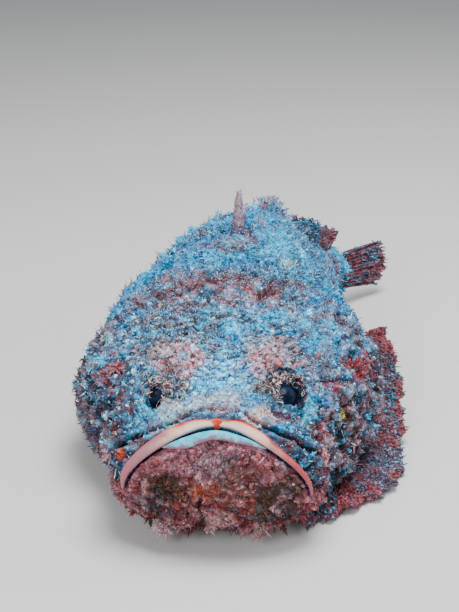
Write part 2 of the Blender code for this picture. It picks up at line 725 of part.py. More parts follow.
def back_fin(name, span, lengths, rakes, rays, rows, group, ridge=0.0, notch=0.0, web=WHOLE_WEB):
    """A fin along the back: each ray leans back by its rake in degrees; web gives the membrane's
    part of a ray's length by the ray's fraction."""
    def base(fraction):
        s = span[0] + (span[1] - span[0]) * fraction
        back = profile(s)[2]
        return np.stack([0 * s, s, back - FIN_SINK], -1)

    def tip(fraction):
        s = span[0] + (span[1] - span[0]) * fraction
        rake = np.radians(along(fraction, rakes)[:, 0])
        length = along(fraction, lengths)[:, 0]
        back = profile(s)[2]
        return np.stack([0 * s, s + length * np.sin(rake), back + length * np.cos(rake)], -1)

    def edge(fraction):
        return base(fraction) + (tip(fraction) - base(fraction)) * along(fraction, web)
    return sheet(name, base, edge, rays, rows, group, ridge=ridge, notch=notch)


def dorsal_spines(group):
    """The venom spines of the first dorsal fin in their fleshy sheaths, the first the stoutest."""
    for i in range(SPINY_COUNT):
        fraction = i / (SPINY_COUNT - 1)
        s = SPINY_BASE[0] + (SPINY_BASE[1] - SPINY_BASE[0]) * fraction
        rake = math.radians(along(fraction, SPINY_RAKE)[0])
        length = along(fraction, SPINY_LENGTH)[0]
        way = np.array([0, math.sin(rake), math.cos(rake)])
        foot = np.array([0, s, profile(s)[2]])
        girth = FIRST_SPINE_GIRTH if i == 0 else 1.0
        points = [foot - way * FIN_SINK * SPINE_ROOT, foot + way * length * SPINE_KNEE, foot + way * length]
        strand("spine", points, [radius * girth for radius in SPINE_RADII], group)


def anal_fin(group):
    """The fin behind the vent, folded over to the right on the floor."""
    def base(fraction):
        s = ANAL_BASE[0] + (ANAL_BASE[1] - ANAL_BASE[0]) * fraction
        belly = np.maximum(profile(s)[3], 0)
        return np.stack([ANAL_ROOT[0] + 0 * s, s, belly + ANAL_ROOT[1]], -1)

    def tip(fraction):
        s = ANAL_BASE[0] + (ANAL_BASE[1] - ANAL_BASE[0]) * fraction
        width = profile(s)[0]
        length = along(fraction, ANAL_LENGTH)[:, 0]
        part, behind, height = ANAL_TIP
        return np.stack([-part * width - length, s + behind, height + 0 * s], -1)
    return sheet("anal_fin", base, tip, ANAL_RAYS, ANAL_ROWS, group, ridge=RAY_RIDGE / 2, notch=RAY_NOTCH)


def caudal_fin(group):
    """The tail fin: rays spread from the end of the tail as a fan."""
    def base(fraction):
        z = CAUDAL_BASE[1] + (CAUDAL_BASE[2] - CAUDAL_BASE[1]) * fraction
        return np.stack([0 * z, CAUDAL_BASE[0] + 0 * z, z], -1)

    def tip(fraction):
        angle = np.radians((fraction * 2 - 1) * CAUDAL_SPREAD)
        length = CAUDAL_LENGTH * (1 - CAUDAL_ROUNDING * (fraction * 2 - 1) ** 2)
        return np.stack([0 * angle, CAUDAL_BASE[0] + length * np.cos(angle),
                         CAUDAL_CENTRE_Z + length * np.sin(angle)], -1)
    return sheet("caudal_fin", base, tip, CAUDAL_RAYS, CAUDAL_ROWS, group, ridge=RAY_RIDGE,
                 notch=RAY_NOTCH / 2)


def paired_fin(name, base, tip, rays, rows, group, bow):
    """A pectoral or pelvic fin, its rays' roots sunk into the body."""
    def root(fraction):
        p = along(fraction, base)
        return p - np.sign(base[0][1]) * np.array([FIN_SINK, 0, 0])
    return sheet(name, root, lambda fraction: along(fraction, tip), rays, rows, group, bow,
                 RAY_RIDGE, RAY_NOTCH)


def mirrored(points):
    return tuple((f, -x, s, z) for f, x, s, z in points)


def ring(name, centre, axis, radius, thickness, segments, group):
    """A round rim, such as an eyelid's or a nostril's, standing on its axis."""
    bpy.ops.mesh.primitive_torus_add(major_segments=segments[0], minor_segments=segments[1],
                                     major_radius=radius * CM, minor_radius=thickness * CM)
    made = bpy.context.object
    made.name = name
    for old in list(made.users_collection):
        old.objects.unlink(made)
    group.objects.link(made)
    turn = Vector(axis).to_track_quat("Z", "Y").to_matrix().to_4x4()
    made.data.transform(Matrix.Translation(Vector(centre) * CM) @ turn)
    made.matrix_basis.identity()
    return made


def bend(ob):
    """Bend the part of the fish behind the bend's start round a circle to its left."""
    count = len(ob.data.vertices)
    flat = np.empty(count * 3)
    ob.data.vertices.foreach_get("co", flat)
    p = flat.reshape(count, 3) / CM
    angle = np.maximum(p[:, 1] - BEND_START, 0) / BEND_RADIUS
    x = BEND_RADIUS * (1 - np.cos(angle)) + p[:, 0] * np.cos(angle)
    y = np.minimum(p[:, 1], BEND_START) + (BEND_RADIUS - p[:, 0]) * np.sin(angle)
    placed = np.stack([x, y, p[:, 2]], -1) * CM
    ob.data.vertices.foreach_set("co", placed.ravel())
    ob.data.update()
    return ob


def paint(ob):
    """Give the node a material of its own in its colour and roughness."""
    key = next(word for word in PAINTS if ob.name.startswith(word))
    colour, roughness = PAINTS[key]
    material = bpy.data.materials.new(ob.name)
    material.use_nodes = True
    shader = material.node_tree.nodes["Principled BSDF"]
    shader.inputs["Base Color"].default_value = (*colour, 1)
    shader.inputs["Roughness"].default_value = roughness
    shader.inputs["Metallic"].default_value = 0
    material.diffuse_color = (*colour, 1)
    ob.data.materials.clear()
    ob.data.materials.append(material)


def gill_outline(side_grow=0.0):
    turn = np.linspace(0, 2 * math.pi, GILL_POINTS, endpoint=False)
    s = GILL_CENTRE[0] + (GILL_HALF[0] + side_grow) * signed_power(np.cos(turn), 2 / GILL_FULLNESS)
    z = GILL_CENTRE[1] + (GILL_HALF[1] + side_grow) * signed_power(np.sin(turn), 2 / GILL_FULLNESS)
    return np.stack([s, z], -1)


def jaw_outline():
    """The mouth's arch with the lower jaw's edges running out and down from its corners."""
    arch = mouth_line()
    x, z = JAW_EDGE
    return np.concatenate([[(x, z)], arch, [(-x, z), (-x, -1), (x, -1)]])


def eye_centre(side):
    """Centre and axis of an eyeball sunk into the skin at its place."""
    surface = body(*back_place(*EYE_PLACE))
    axis = np.array(EYE_AXIS) / np.linalg.norm(EYE_AXIS)
    centre = surface - axis * (EYE_RADIUS - EYE_SINK)
    return centre * (side, 1, 1), axis * (side, 1, 1)


def clear_scene():
    for ob in list(bpy.data.objects):
        bpy.data.objects.remove(ob, do_unlink=True)


def copy_of(ob, name, group):
    made = bpy.data.objects.new(name, ob.data.copy())
    group.objects.link(made)
    return made


def eyes_and_rims(whole, parts, cutters):
    """Eyeballs as nodes, and lids and nostril rims joined to the body; gives eyes and their fits."""
    eyes = []
    fits = []
    for side, word in ((1, "left"), (-1, "right")):
        centre, axis = eye_centre(side)
        eyes.append(ball("eye_" + word, centre, EYE_RADIUS, parts))
        fits.append(ball("eye_fit_" + word, centre, EYE_RADIUS + GAP, cutters))
        lid = ring("lid_" + word, centre + axis * LID_LIFT, axis, LID_RADIUS, LID_THICKNESS,
                   LID_SEGMENTS, cutters)
        boolean(whole, lid, "UNION")
        u, theta = back_place(side * NOSTRIL_PLACE[0], NOSTRIL_PLACE[1])
        nostril = ring("nostril_" + word, body(u, theta), normals_of(u, theta, plain_body),
                       NOSTRIL_RADIUS, NOSTRIL_RIM, NOSTRIL_SEGMENTS, cutters)
        boolean(whole, nostril, "UNION")
    return eyes, fits


def gill_cutters(cutters):
    """Prisms that cut the gill covers out of the cheeks, and wider ones that leave their gaps."""
    covers = []
    fits = []
    for side in (1, -1):
        ends = sorted((side * GILL_INNER_X, side * GILL_OUTER_X))
        covers.append(prism("gill_prism", gill_outline(), *ends, "along_x", cutters))
        ends = sorted((side * (GILL_INNER_X - GAP), side * (GILL_OUTER_X + 1)))
        fits.append(prism("gill_fit", gill_outline(GAP), *ends, "along_x", cutters))
    return covers, fits


def jaw_and_lip(whole, parts, cutters):
    """The lower jaw with its lip, the upper lip, and the cutters that leave room for both."""
    line = jaw_outline()
    inside = prism("jaw_prism", line, JAW_PRISM_FRONT, JAW_BACK, "along_y", cutters)
    jaw_fit = prism("jaw_fit", outset(line, GAP), JAW_PRISM_FRONT - GAP, JAW_BACK + GAP, "along_y", cutters)
    lip_fit = lip("lip_fit", cutters, LIP_HALF_WIDTH, LIP_SHIFT, LIP_LIFT, grow=GAP)
    upper = lip("upper_lip", parts, LIP_HALF_WIDTH, LIP_SHIFT, LIP_LIFT)
    lower = lip("lower_lip", cutters, LOWER_LIP_HALF_WIDTH, LOWER_LIP_SHIFT, LOWER_LIP_LIFT, LOWER_LIP_END)
    jaw = boolean(copy_of(whole, "lower_jaw", parts), inside, "INTERSECT")
    boolean(jaw, lower, "UNION")
    boolean(jaw, lip_fit, "DIFFERENCE")
    return [jaw, upper], [jaw_fit, lip_fit]


def body_nodes(whole, cuts, parts, cutters):
    """Head, gill covers, torso and tail stalk, parted by gaps; cuts are taken out of the head."""
    covers, fits = gill_cutters(cutters)
    spans = {"head": (-2, HEAD_END), "torso": (HEAD_END + GAP, TORSO_END),
             "tail_stalk": (TORSO_END + GAP, CUT_REACH)}
    nodes = []
    for name, (first, last) in spans.items():
        node = boolean(copy_of(whole, name, parts), slab(name + "_slab", first, last, cutters), "INTERSECT")
        for cutter in (cuts if name == "head" else []) + (fits if name != "tail_stalk" else []):
            boolean(node, cutter, "DIFFERENCE")
        nodes.append(node)
    for word, cutter in zip(("left", "right"), covers):
        nodes.append(boolean(copy_of(whole, "gill_cover_" + word, parts), cutter, "INTERSECT"))
    return nodes


def fin_nodes(parts, growths, fit):
    """All fins, the first dorsal joined to its spines, each cut clear of the body."""
    x, s, z = PECTORAL_BOW
    flat = (0, 0, 0)
    spiny = back_fin("dorsal_fin_spiny", SPINY_BASE, SPINY_LENGTH, SPINY_RAKE, SPINY_COUNT, SPINY_ROWS,
                     parts, notch=SPINY_NOTCH, web=SPINY_WEB)
    dorsal_spines(growths)
    boolean(spiny, growths, "UNION", "MANIFOLD")
    clear(growths)
    fins = [
        spiny,
        back_fin("dorsal_fin_soft", SOFT_BASE, SOFT_LENGTH, SOFT_RAKE, SOFT_RAYS, SOFT_ROWS, parts,
                 RAY_RIDGE, RAY_NOTCH),
        paired_fin("pectoral_fin_left", LEFT_PECTORAL_BASE, LEFT_PECTORAL_TIP, PECTORAL_RAYS,
                   PECTORAL_ROWS, parts, (x, s, z)),
        paired_fin("pectoral_fin_right", RIGHT_PECTORAL_BASE, RIGHT_PECTORAL_TIP, PECTORAL_RAYS,
                   PECTORAL_ROWS, parts, (-x, s, z)),
        paired_fin("pelvic_fin_left", PELVIC_BASE, PELVIC_TIP, PELVIC_RAYS, PELVIC_ROWS, parts, flat),
        paired_fin("pelvic_fin_right", mirrored(PELVIC_BASE), mirrored(PELVIC_TIP), PELVIC_RAYS,
                   PELVIC_ROWS, parts, flat),
        anal_fin(parts),
        caudal_fin(parts),
    ]
    for fin in fins:
        boolean(fin, fit, "DIFFERENCE", "MANIFOLD")
    return fins


def centre_under(root, parts):
    """Put all nodes on the root, which moves the middle of their box to the origin."""
    nodes = [ob for ob in parts.objects if ob.type == "MESH"]
    corners = np.array([v.co for ob in nodes for v in ob.data.vertices])
    low, high = corners.min(0), corners.max(0)
    root.location = (-(low[0] + high[0]) / 2, -(low[1] + high[1]) / 2, 0)
    for ob in nodes:
        ob.parent = root


def main():
    clear_scene()
    parts = collection("stonefish")
    cutters = collection("cutters")
    whole = body_solid("whole", cutters)
    fit = body_solid("whole_fit", cutters, GAP)
    eyes, eye_fits = eyes_and_rims(whole, parts, cutters)

    chance = random.Random(SEED)
    growths = collection("growths")
    tassels(growths, chance)
    warts(growths, chance)
    boolean(whole, growths, "UNION", "MANIFOLD")
    clear(growths)

    mouth, mouth_fits = jaw_and_lip(whole, parts, cutters)
    flesh = body_nodes(whole, mouth_fits + eye_fits, parts, cutters)
    fins = fin_nodes(parts, growths, fit)
    for ob in flesh + mouth + fins + eyes:
        keep_largest(ob)
        bend(ob)
        paint(ob)
    clear(cutters)
    bpy.data.collections.remove(growths)

    root = bpy.data.objects.new("stonefish", None)
    parts.objects.link(root)
    centre_under(root, parts)


main()
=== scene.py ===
"""Looks of a stonefish that lies on a pale floor, head towards -Y.

The fish is drawn straight, in centimetres: x across with its left side at +X, s along the body from
the front of the lower jaw, z up from the floor. Its tail is then bent to the left, and the whole is
moved to where the frame has it.
"""
import math
from collections import namedtuple

import bpy
import numpy as np
from mathutils import Matrix, Vector
from mathutils.kdtree import KDTree


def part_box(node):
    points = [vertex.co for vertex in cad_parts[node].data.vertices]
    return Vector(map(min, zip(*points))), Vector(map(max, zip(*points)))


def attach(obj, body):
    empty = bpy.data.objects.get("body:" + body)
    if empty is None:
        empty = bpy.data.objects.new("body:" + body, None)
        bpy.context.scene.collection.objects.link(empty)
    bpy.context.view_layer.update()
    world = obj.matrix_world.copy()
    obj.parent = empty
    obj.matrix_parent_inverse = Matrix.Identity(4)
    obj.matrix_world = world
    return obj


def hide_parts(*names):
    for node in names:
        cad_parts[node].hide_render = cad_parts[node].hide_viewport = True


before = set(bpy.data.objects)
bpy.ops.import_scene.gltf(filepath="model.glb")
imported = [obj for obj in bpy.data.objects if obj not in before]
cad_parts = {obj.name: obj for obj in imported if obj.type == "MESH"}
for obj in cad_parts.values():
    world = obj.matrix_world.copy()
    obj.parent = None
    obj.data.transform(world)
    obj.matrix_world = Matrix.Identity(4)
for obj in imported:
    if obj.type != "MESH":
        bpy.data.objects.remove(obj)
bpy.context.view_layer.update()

CM = 0.01
SEED = 11
PI = math.pi

# Body: distance from the jaw's front, half width, height of the widest point, height of the back,
# height of the belly (below 0 it is pressed flat on the floor), fullness of the back's curve
STATIONS = np.array([
    (2.6, 4.65, 3, 6.3, 0.60, 2.5),
    (4.6, 5.50, 3.1, 6.75, -0.40, 2.6),
    (6.6, 6.55, 3.4, 6.95, -0.40, 2.4),
    (8.6, 7.15, 3.7, 7.45, -0.40, 2.2),
    (10.8, 6.85, 3.8, 8.7, -0.40, 1.95),
    (13.2, 5.75, 4, 9.9, -0.40, 1.75),
    (16.5, 4.70, 4.1, 9.7, -0.35, 1.65),
    (20, 3.20, 3.8, 7.8, -0.10, 1.8),
    (23.5, 1.85, 3, 5.2, 0.45, 2),
    (26.6, 1.05, 2.6, 4.3, 1.00, 2),
])
FACE_DEPTH = 2.6
FACE_BLUNTNESS = 2.4
BELLY_FULLNESS = 2.4
TAIL_END = 26
TAIL_ROUND = 0.9
BEND_START = 11
BEND_RADIUS = 22

# Swellings and hollows: x, s, z, height, radius, alike on both sides
SWELLINGS = (
    (1.75, 5.3, 6.85, 0.55, 1), (2.9, 3.7, 6.2, 0.40, 1.1), (0, 3, 6.4, 0.25, 1),
    (5, 6, 4.8, 0.35, 1.2), (3.3, 8, 6.9, 0.40, 1.2), (4.4, 1.8, 4.1, 0.25, 0.8),
    (0, 0.2, 3.6, 0.20, 1.2), (5, 12.4, 7, 0.30, 1.3),
)
HOLLOWS = (
    (0, 4.9, 6.9, 0.40, 1.1), (4, 5.2, 5.6, 0.50, 0.9), (3.5, 2.8, 5.1, 0.20, 0.8),
    (2.6, 0.3, 3.1, 0.25, 0.8), (5.3, 4.3, 4, 0.35, 0.8),
)
# Steps across the back: s, depth, width
NAPE_S = 11.4
BACK_STEPS = ((9.8, 0.35, 0.55), (NAPE_S, 0.20, 0.4), (12.7, 0.20, 0.4))

# Mouth
MOUTH_CORNER_X = 3.85
MOUTH_CORNER_Z = 2.95
MOUTH_PEAK_Z = 5.87
MOUTH_ARCH = 1.72
SLIT_DEPTH = 0.28
SLIT_WIDTH = 0.06
CREASE = np.array((
    (0, 1.95, 6.31), (0.5, 1.9, 6.29), (1.1, 1.75, 6.19), (1.8, 1.42, 5.95), (2.5, 1.32, 5.68),
    (3.1, 1.28, 5.38), (3.6, 1.3, 5), (4.2, 1.5, 4.6)))
CREASE_DEPTH = 0.34
CREASE_WIDTH = 0.085
# Half widths of the lips along the arch, from -1 at its left end to 1 at its right end
UPPER_LIP_HALF = (
    (-1, 0.05), (-0.86, 0.10), (-0.7, 0.12), (-0.51, 0.15), (-0.35, 0.22), (-0.2, 0.25), (0, 0.14),
    (0.17, 0.23), (0.32, 0.27), (0.48, 0.25), (0.66, 0.22), (0.85, 0.17), (1, 0.06))
LOWER_LIP_HALF = (
    (-0.42, 0.03), (-0.30, 0.11), (-0.16, 0.18), (0, 0.20), (0.12, 0.22), (0.25, 0.24), (0.36, 0.15),
    (0.45, 0.03))

# Eyes and nostrils; where a value is given for each side, 1 is the fish's left and -1 its right
EYE_PLACE = (2.72, 3.12)
EYE_AXIS = np.array((0.45, -0.72, 0.53)) / np.linalg.norm((0.45, -0.72, 0.53))
EYE_RADIUS = 0.62
EYE_SINK = 0.12
# Painted shade round each eye: outwards, above, half width, half height
EYE_DARK = {1: (0.34, 0.46, 0.80, 1.06), -1: (-0.24, -0.06, 0.56, 0.62)}
# How far the lids' opening lies outwards and above the eyeball's axis, and its size
EYE_OPENING = {1: (0.18, 0.16, 1), -1: (-0.24, -0.20, 0.78)}
# Cirri round each eye: how many, and the mean and spread of their places in half turns
CIRRI = {1: (300, 0.66, 0.18), -1: (420, 0.53, 0.20)}
NOSTRIL_PLACE = (1.5, 3.3)
NOSTRIL_RADIUS = 0.20

# Colours as they look on a screen, 0 to 255; the low colour serves only as painted shade low on the body
PALETTE = {
    "back": (0, 138, 204), "snout": (28, 182, 248), "side": (52, 66, 90), "low": (58, 56, 74),
    "jaw": (124, 68, 66), "jaw top": (160, 102, 116), "jaw foot": (76, 42, 52), "rose": (200, 126, 128),
    "brown": (136, 92, 94), "mauve": (104, 94, 108), "navy": (12, 30, 58), "yellow": (190, 178, 60),
    "red": (140, 52, 58), "pink": (196, 156, 164), "brow": (236, 160, 164), "olive": (62, 52, 38),
    "dark": (18, 18, 26), "pale": (62, 204, 252), "white": (198, 244, 255), "orange": (206, 84, 50),
    "maroon": (96, 50, 54), "ochre": (160, 140, 78), "tassel": (182, 142, 146), "cream": (222, 206, 202),
    "fin": (66, 50, 70), "lip cream": (255, 212, 184), "lip pink": (192, 82, 92), "rust": (124, 60, 60),
    "lip mauve": (158, 108, 132), "lip edge": (206, 44, 30), "lower lip": (62, 196, 232),
    "knob": (222, 56, 32), "iris": (22, 40, 66), "light blue": (36, 164, 222), "slate": (104, 116, 134),
    "grain": (140, 224, 254), "floor": (226, 226, 226),
}


def paint(name):
    """A palette colour in linear light: the standard curve, c / 12.92 or ((c + 0.055) / 1.055) ** 2.4."""
    c = np.asarray(PALETTE[name], float) / 255
    return np.where(c <= 0.04045, c / 12.92, ((c + 0.055) / 1.055) ** 2.4)


def plain(points, name):
    """A palette colour for each of the points."""
    return np.zeros(points.shape) + paint(name)


def mix(base, *coats):
    """Colours with palette colours laid over them one by one, each by an amount for each point."""
    for name, amount in coats:
        amount = np.asarray(amount)[..., None]
        base = base * (1 - amount) + paint(name) * amount
    return base


def ramp(x, low, high):
    """0 below low, 1 above high, and 3t^2 - 2t^3 between."""
    t = np.clip((x - low) / (high - low), 0, 1)
    return t * t * (3 - 2 * t)


def fall(x, low, high):
    """1 below low and 0 above high."""
    return ramp(-x, -high, -low)


def bell(x, width, power=2):
    return np.exp(-(x / width) ** power)


def parts(p):
    """The x, s and z of places."""
    return p[..., 0], p[..., 1], p[..., 2]


def joined(*values):
    """Places from their x, s and z, or other values side by side along the last axis."""
    return np.stack(np.broadcast_arrays(*values), -1)


def smooth_line(x, xs, ys):
    """Cubic curve through the points, with the slopes of their neighbours."""
    slope = np.gradient(ys, xs)
    i = np.clip(np.searchsorted(xs, x) - 1, 0, len(xs) - 2)
    h = xs[i + 1] - xs[i]
    t = np.clip((x - xs[i]) / h, 0, 1)
    start = (2 * t**3 - 3 * t**2 + 1) * ys[i] + (t**3 - 2 * t**2 + t) * h * slope[i]
    end = (3 * t**2 - 2 * t**3) * ys[i + 1] + (t**3 - t**2) * h * slope[i + 1]
    return start + end


def along(fraction, points):
    """Value or place at a fraction of a line given as (fraction, value...) points."""
    columns = np.asarray(points, float).T
    return np.stack([smooth_line(fraction, columns[0], values) for values in columns[1:]], -1)


def between(span, fraction):
    return span[0] + (span[1] - span[0]) * fraction


def signed_power(x, exponent):
    return np.sign(x) * np.abs(x) ** exponent


def unit(v):
    return v / np.maximum(np.linalg.norm(v, axis=-1, keepdims=True), 1e-9)


def circle(count):
    return np.linspace(0, 2 * PI, count, endpoint=False)


def profile(s):
    """The five values of the body's stations at s."""
    return [smooth_line(np.maximum(s, FACE_DEPTH), STATIONS[:, 0], STATIONS[:, c]) for c in range(1, 6)]


def spine_line(u):
    """Place s and scale k of the cross-section at u: the face for u in 0..1, then the body, then its
    rounded end, where u - 1 is the distance past the face."""
    phi = np.clip(u, 0, 1) * PI / 2
    face_s = FACE_DEPTH * (1 - np.cos(phi) ** (2 / FACE_BLUNTNESS))
    past = u - 1 + FACE_DEPTH
    turn = np.clip((past - TAIL_END) / TAIL_ROUND, 0, 1) * PI / 2
    s = np.where(u < 1, face_s, np.clip(past, FACE_DEPTH, TAIL_END) + TAIL_ROUND * np.sin(turn))
    return s, np.where(u < 1, np.sin(phi) ** (2 / FACE_BLUNTNESS), np.cos(turn))


def plain_body(u, theta):
    """Superellipse sections along the body; theta runs from the left side over the back."""
    s, k = spine_line(u)
    width, middle, back, belly, fullness = profile(s)
    up = np.sin(theta)
    full = np.where(up >= 0, fullness, BELLY_FULLNESS)
    reach = np.where(up >= 0, back - middle, middle - belly)
    x = k * width * signed_power(np.cos(theta), 2 / full)
    z = middle + k * reach * signed_power(up, 2 / full)
    return joined(x, s, z)


def relief(p):
    """Height of the swellings and hollows over the plain body, bell curves round their places."""
    x, s, z = parts(p)
    height = np.zeros_like(x)
    for sign, spots in ((1, SWELLINGS), (-1, HOLLOWS)):
        for *place, rise, radius in spots:
            height += sign * rise * near(p, *place, radius)
    for place, depth, width in BACK_STEPS:
        height -= depth * np.clip((z - 5.5) / 1.5, 0, 1) * bell(s - place, width)
    return height * np.clip((z - 0.4) / 1.2, 0, 1)


def body(u, theta):
    """Body with its relief along the plain body's normals, and those normals."""
    step = 1e-3
    inner = np.clip(u, 0.02, 1 + TAIL_END + TAIL_ROUND - FACE_DEPTH - 0.02)
    lengthwise = plain_body(inner + step, theta) - plain_body(inner - step, theta)
    round_it = plain_body(inner, theta + step) - plain_body(inner, theta - step)
    normal = unit(np.cross(lengthwise, round_it))
    p = plain_body(u, theta)
    return p + normal * relief(p)[..., None], normal


def towards(s, x, z):
    """Theta of the section at s towards x, z, and the place's distance as a part of the section."""
    width, middle, back, belly, fullness = profile(s)
    full = np.where(z >= middle, fullness, BELLY_FULLNESS)
    reach = np.where(z >= middle, back - middle, middle - belly)
    across = (np.abs(x) / width) ** full
    up = (np.abs(z - middle) / reach) ** full
    theta = np.arctan2(np.sign(z - middle) * np.sqrt(up), np.sign(x) * np.sqrt(across))
    return theta, (across + up) ** (1 / full)


def face_place(x, z):
    """Parameters u, theta of the face's point that is seen at x, z from the front."""
    theta, k = towards(FACE_DEPTH, x, z)
    return np.arcsin(np.minimum(k, 0.9999) ** (FACE_BLUNTNESS / 2)) * 2 / PI, theta


def back_place(x, s):
    """Parameters u, theta of the point of the back that is seen at x, s from above."""
    width, *_, fullness = profile(s)
    across = signed_power(x / width, fullness / 2)
    return s - FACE_DEPTH + 1, np.arccos(np.clip(across, -1, 1))


def spot(x, s, z):
    """Surface point and outward normal of the body nearest to a place on its skin."""
    place = face_place(x, z) if s < FACE_DEPTH else (s - FACE_DEPTH + 1, towards(s, x, z)[0])
    return body(*place)


def bent(p):
    """Bend what lies behind the bend's start round a circle to the fish's left."""
    x, s, z = parts(p)
    angle = np.maximum(s - BEND_START, 0) / BEND_RADIUS
    reach = BEND_RADIUS - x
    behind = np.minimum(s, BEND_START) + reach * np.sin(angle)
    return joined(BEND_RADIUS - reach * np.cos(angle), behind, z)


def eye_centre(side):
    return (body(*back_place(*EYE_PLACE))[0] - EYE_AXIS * (EYE_RADIUS - EYE_SINK)) * (side, 1, 1)


def frame_shift():
    """Move from the drawing to the frame, from the middle of the two eyes' boxes."""
    boxes = np.array([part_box("eye_left"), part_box("eye_right")], float).reshape(2, 2, 3)
    move = boxes.mean((0, 1)) - (eye_centre(1) + eye_centre(-1)) / 2 * CM
    return move * (1, 1, 0)


def mouth_line(points):
    """Points x, z of the mouth's arch from its left corner over the middle to the right one."""
    turn = np.linspace(0, PI, points + 1)
    x = MOUTH_CORNER_X * signed_power(np.cos(turn), 2 / MOUTH_ARCH)
    z = between((MOUTH_CORNER_Z, MOUTH_PEAK_Z), np.sin(turn).clip(0) ** (2 / MOUTH_ARCH))
    return joined(x, z)


def mouth_height(x):
    """Height z of the mouth's arch over a place across it."""
    part = np.clip(1 - (np.abs(x) / MOUTH_CORNER_X) ** MOUTH_ARCH, 0, 1)
    return between((MOUTH_CORNER_Z, MOUTH_PEAK_Z), part ** (1 / MOUTH_ARCH))


def distance_to_line(p, line):
    """Shortest distance from points to a line of straight stretches."""
    best = np.full(p.shape[:-1], 1e9)
    for a, b in zip(line[:-1], line[1:]):
        way = b - a
        t = np.clip(((p - a) @ way) / max(way @ way, 1e-12), 0, 1)
        best = np.minimum(best, np.linalg.norm(p - a - t[..., None] * way, axis=-1))
    return best


def lattice(cell, seed):
    """A fixed random number in 0..1 for each whole-numbered place, from mixed and folded bits."""
    x, y, z = parts(cell.astype(np.uint32))
    h = (x * np.uint32(374761393) + y * np.uint32(668265263)
         + z * np.uint32(2246822519) + np.uint32(seed * 3266489917 % 2**32))
    h = (h ^ (h >> np.uint32(13))) * np.uint32(1274126177)
    h = (h ^ (h >> np.uint32(15))) * np.uint32(2654435761)
    return ((h ^ (h >> np.uint32(16))) / 2**32).astype(float)


def cloud(p, size, seed):
    """Smooth noise in 0..1: lattice numbers blended with 3t^2 - 2t^3 in each cell."""
    q = p / size + 1000
    cell = np.floor(q).astype(np.int64)
    t = ramp(q - cell, 0, 1)
    total = 0
    for corner in range(8):
        bits = np.array([corner & 1, corner >> 1 & 1, corner >> 2 & 1])
        total = total + np.prod(np.where(bits, t, 1 - t), axis=-1) * lattice(cell + bits, seed)
    return total


def clouds(p, size, seed, octaves=3):
    """Noise with finer noise on it, each layer half the size and weight of the last."""
    total = 0
    for i in range(octaves):
        total = total + cloud(p, size / 2**i, seed + 17 * i) / 2**i
    return total / (2 - 2 / 2**octaves)


def pebbles(p, size, seed):
    """Distance to the nearest of scattered points, one in each cell, and that point's number."""
    q = p / size + 1000
    cell = np.floor(q).astype(np.int64)
    best = np.full(p.shape[:-1], 9.0)
    number = np.zeros(p.shape[:-1])
    for step in np.ndindex(3, 3, 3):
        other = cell + np.array(step) - 1
        centre = other + joined(*[lattice(other, seed + i) for i in range(3)])
        gap = np.linalg.norm(q - centre, axis=-1)
        number = np.where(gap < best, lattice(other, seed + 5), number)
        best = np.minimum(best, gap)
    return best * size, number


def near(p, x, s, z, radius):
    """1 at a place and its mirror image, falling to 0 as a bell curve of the radius."""
    distance = (np.abs(p[..., 0]) - x) ** 2 + (p[..., 1] - s) ** 2 + (p[..., 2] - z) ** 2
    return np.exp(-distance / radius**2)


def jaw_mask(p):
    """1 on the lower jaw's front, under the mouth's arch."""
    x, s, z = parts(p)
    return ramp(mouth_height(x) - z, 0, 0.25) * fall(s, 2.6, 3.4)


def lip_zone(p):
    """1 where the bare lips lie, where the skin stays smooth, and the distance to the mouth's slit."""
    x, _, z = parts(p)
    gap = distance_to_line(p, body(*face_place(*mouth_line(40).T))[0])
    under = 0.02 + 0.30 * fall(np.abs(x + 0.3), 1.7, 2.4)
    reach = np.where(z > mouth_height(x) - 0.02, 0.44 * fall(np.abs(x), 2.6, 4.2), under) + 0.10
    return fall(gap, reach - 0.08, reach + 0.08), gap


def eye_axes(side):
    """An eye's axis, and the ways outwards and up across it."""
    axis = EYE_AXIS * (side, 1, 1)
    out = unit(np.cross((0, 0, 1), axis)) * side
    return axis, out, np.cross(axis, out) * side


def eye_offsets(p, side, aside, higher, wide, high):
    """How far places lie ahead of an eye's middle, and how far from the middle of an ellipse beside
    its axis, in parts of the ellipse's half sizes."""
    ahead, across, above = ((p - eye_centre(side)) @ axis for axis in eye_axes(side))
    return ahead, np.hypot((across - aside) / wide, (above - higher) / high)


def from_opening(p, side):
    """How far places lie ahead of an eye's middle, and from the lids' opening in parts of its size."""
    out, up, size = EYE_OPENING[side]
    return eye_offsets(p, side, out, up, size, size)


def eye_shape(p):
    """Height of the lids' uneven ridge and depth of the socket round the eyes."""
    height = 0
    wave = clouds(p, 0.35, 610, 2)
    for side in (1, -1):
        ahead, off = from_opening(p, side)
        off = off + 0.16 * (wave - 0.5)
        ridge = (0.10 + 0.22 * wave) * bell(off - 0.76, 0.15)
        pit = 0.62 * fall(off, 0.50, 0.70)
        furrow = 0.06 * bell(off - 1.12, 0.17)
        height = height + ramp(ahead, -0.3, 0.2) * (off < 1.6) * (ridge - pit - furrow)
    return height


def eye_shadow(p):
    """1 in the painted shade round and above the eyes, higher than wide, with a broken edge."""
    wave = clouds(p, 0.42, 620, 3)
    shade = 0
    for side in (1, -1):
        ahead, far = eye_offsets(p, side, *EYE_DARK[side])
        shade = shade + fall(far + 1.3 * (wave - 0.5), 0.88, 1.06) * (ahead > -0.5)
    return np.clip(shade, 0, 1)


def nostril_shape(p):
    height = 0
    for side in (1, -1):
        place = body(*back_place(side * NOSTRIL_PLACE[0], NOSTRIL_PLACE[1]))[0]
        off = np.linalg.norm(p - place, axis=-1)
        height = height + 0.14 * bell(off - NOSTRIL_RADIUS, 0.08) - 0.25 * bell(off, 0.11)
    return height


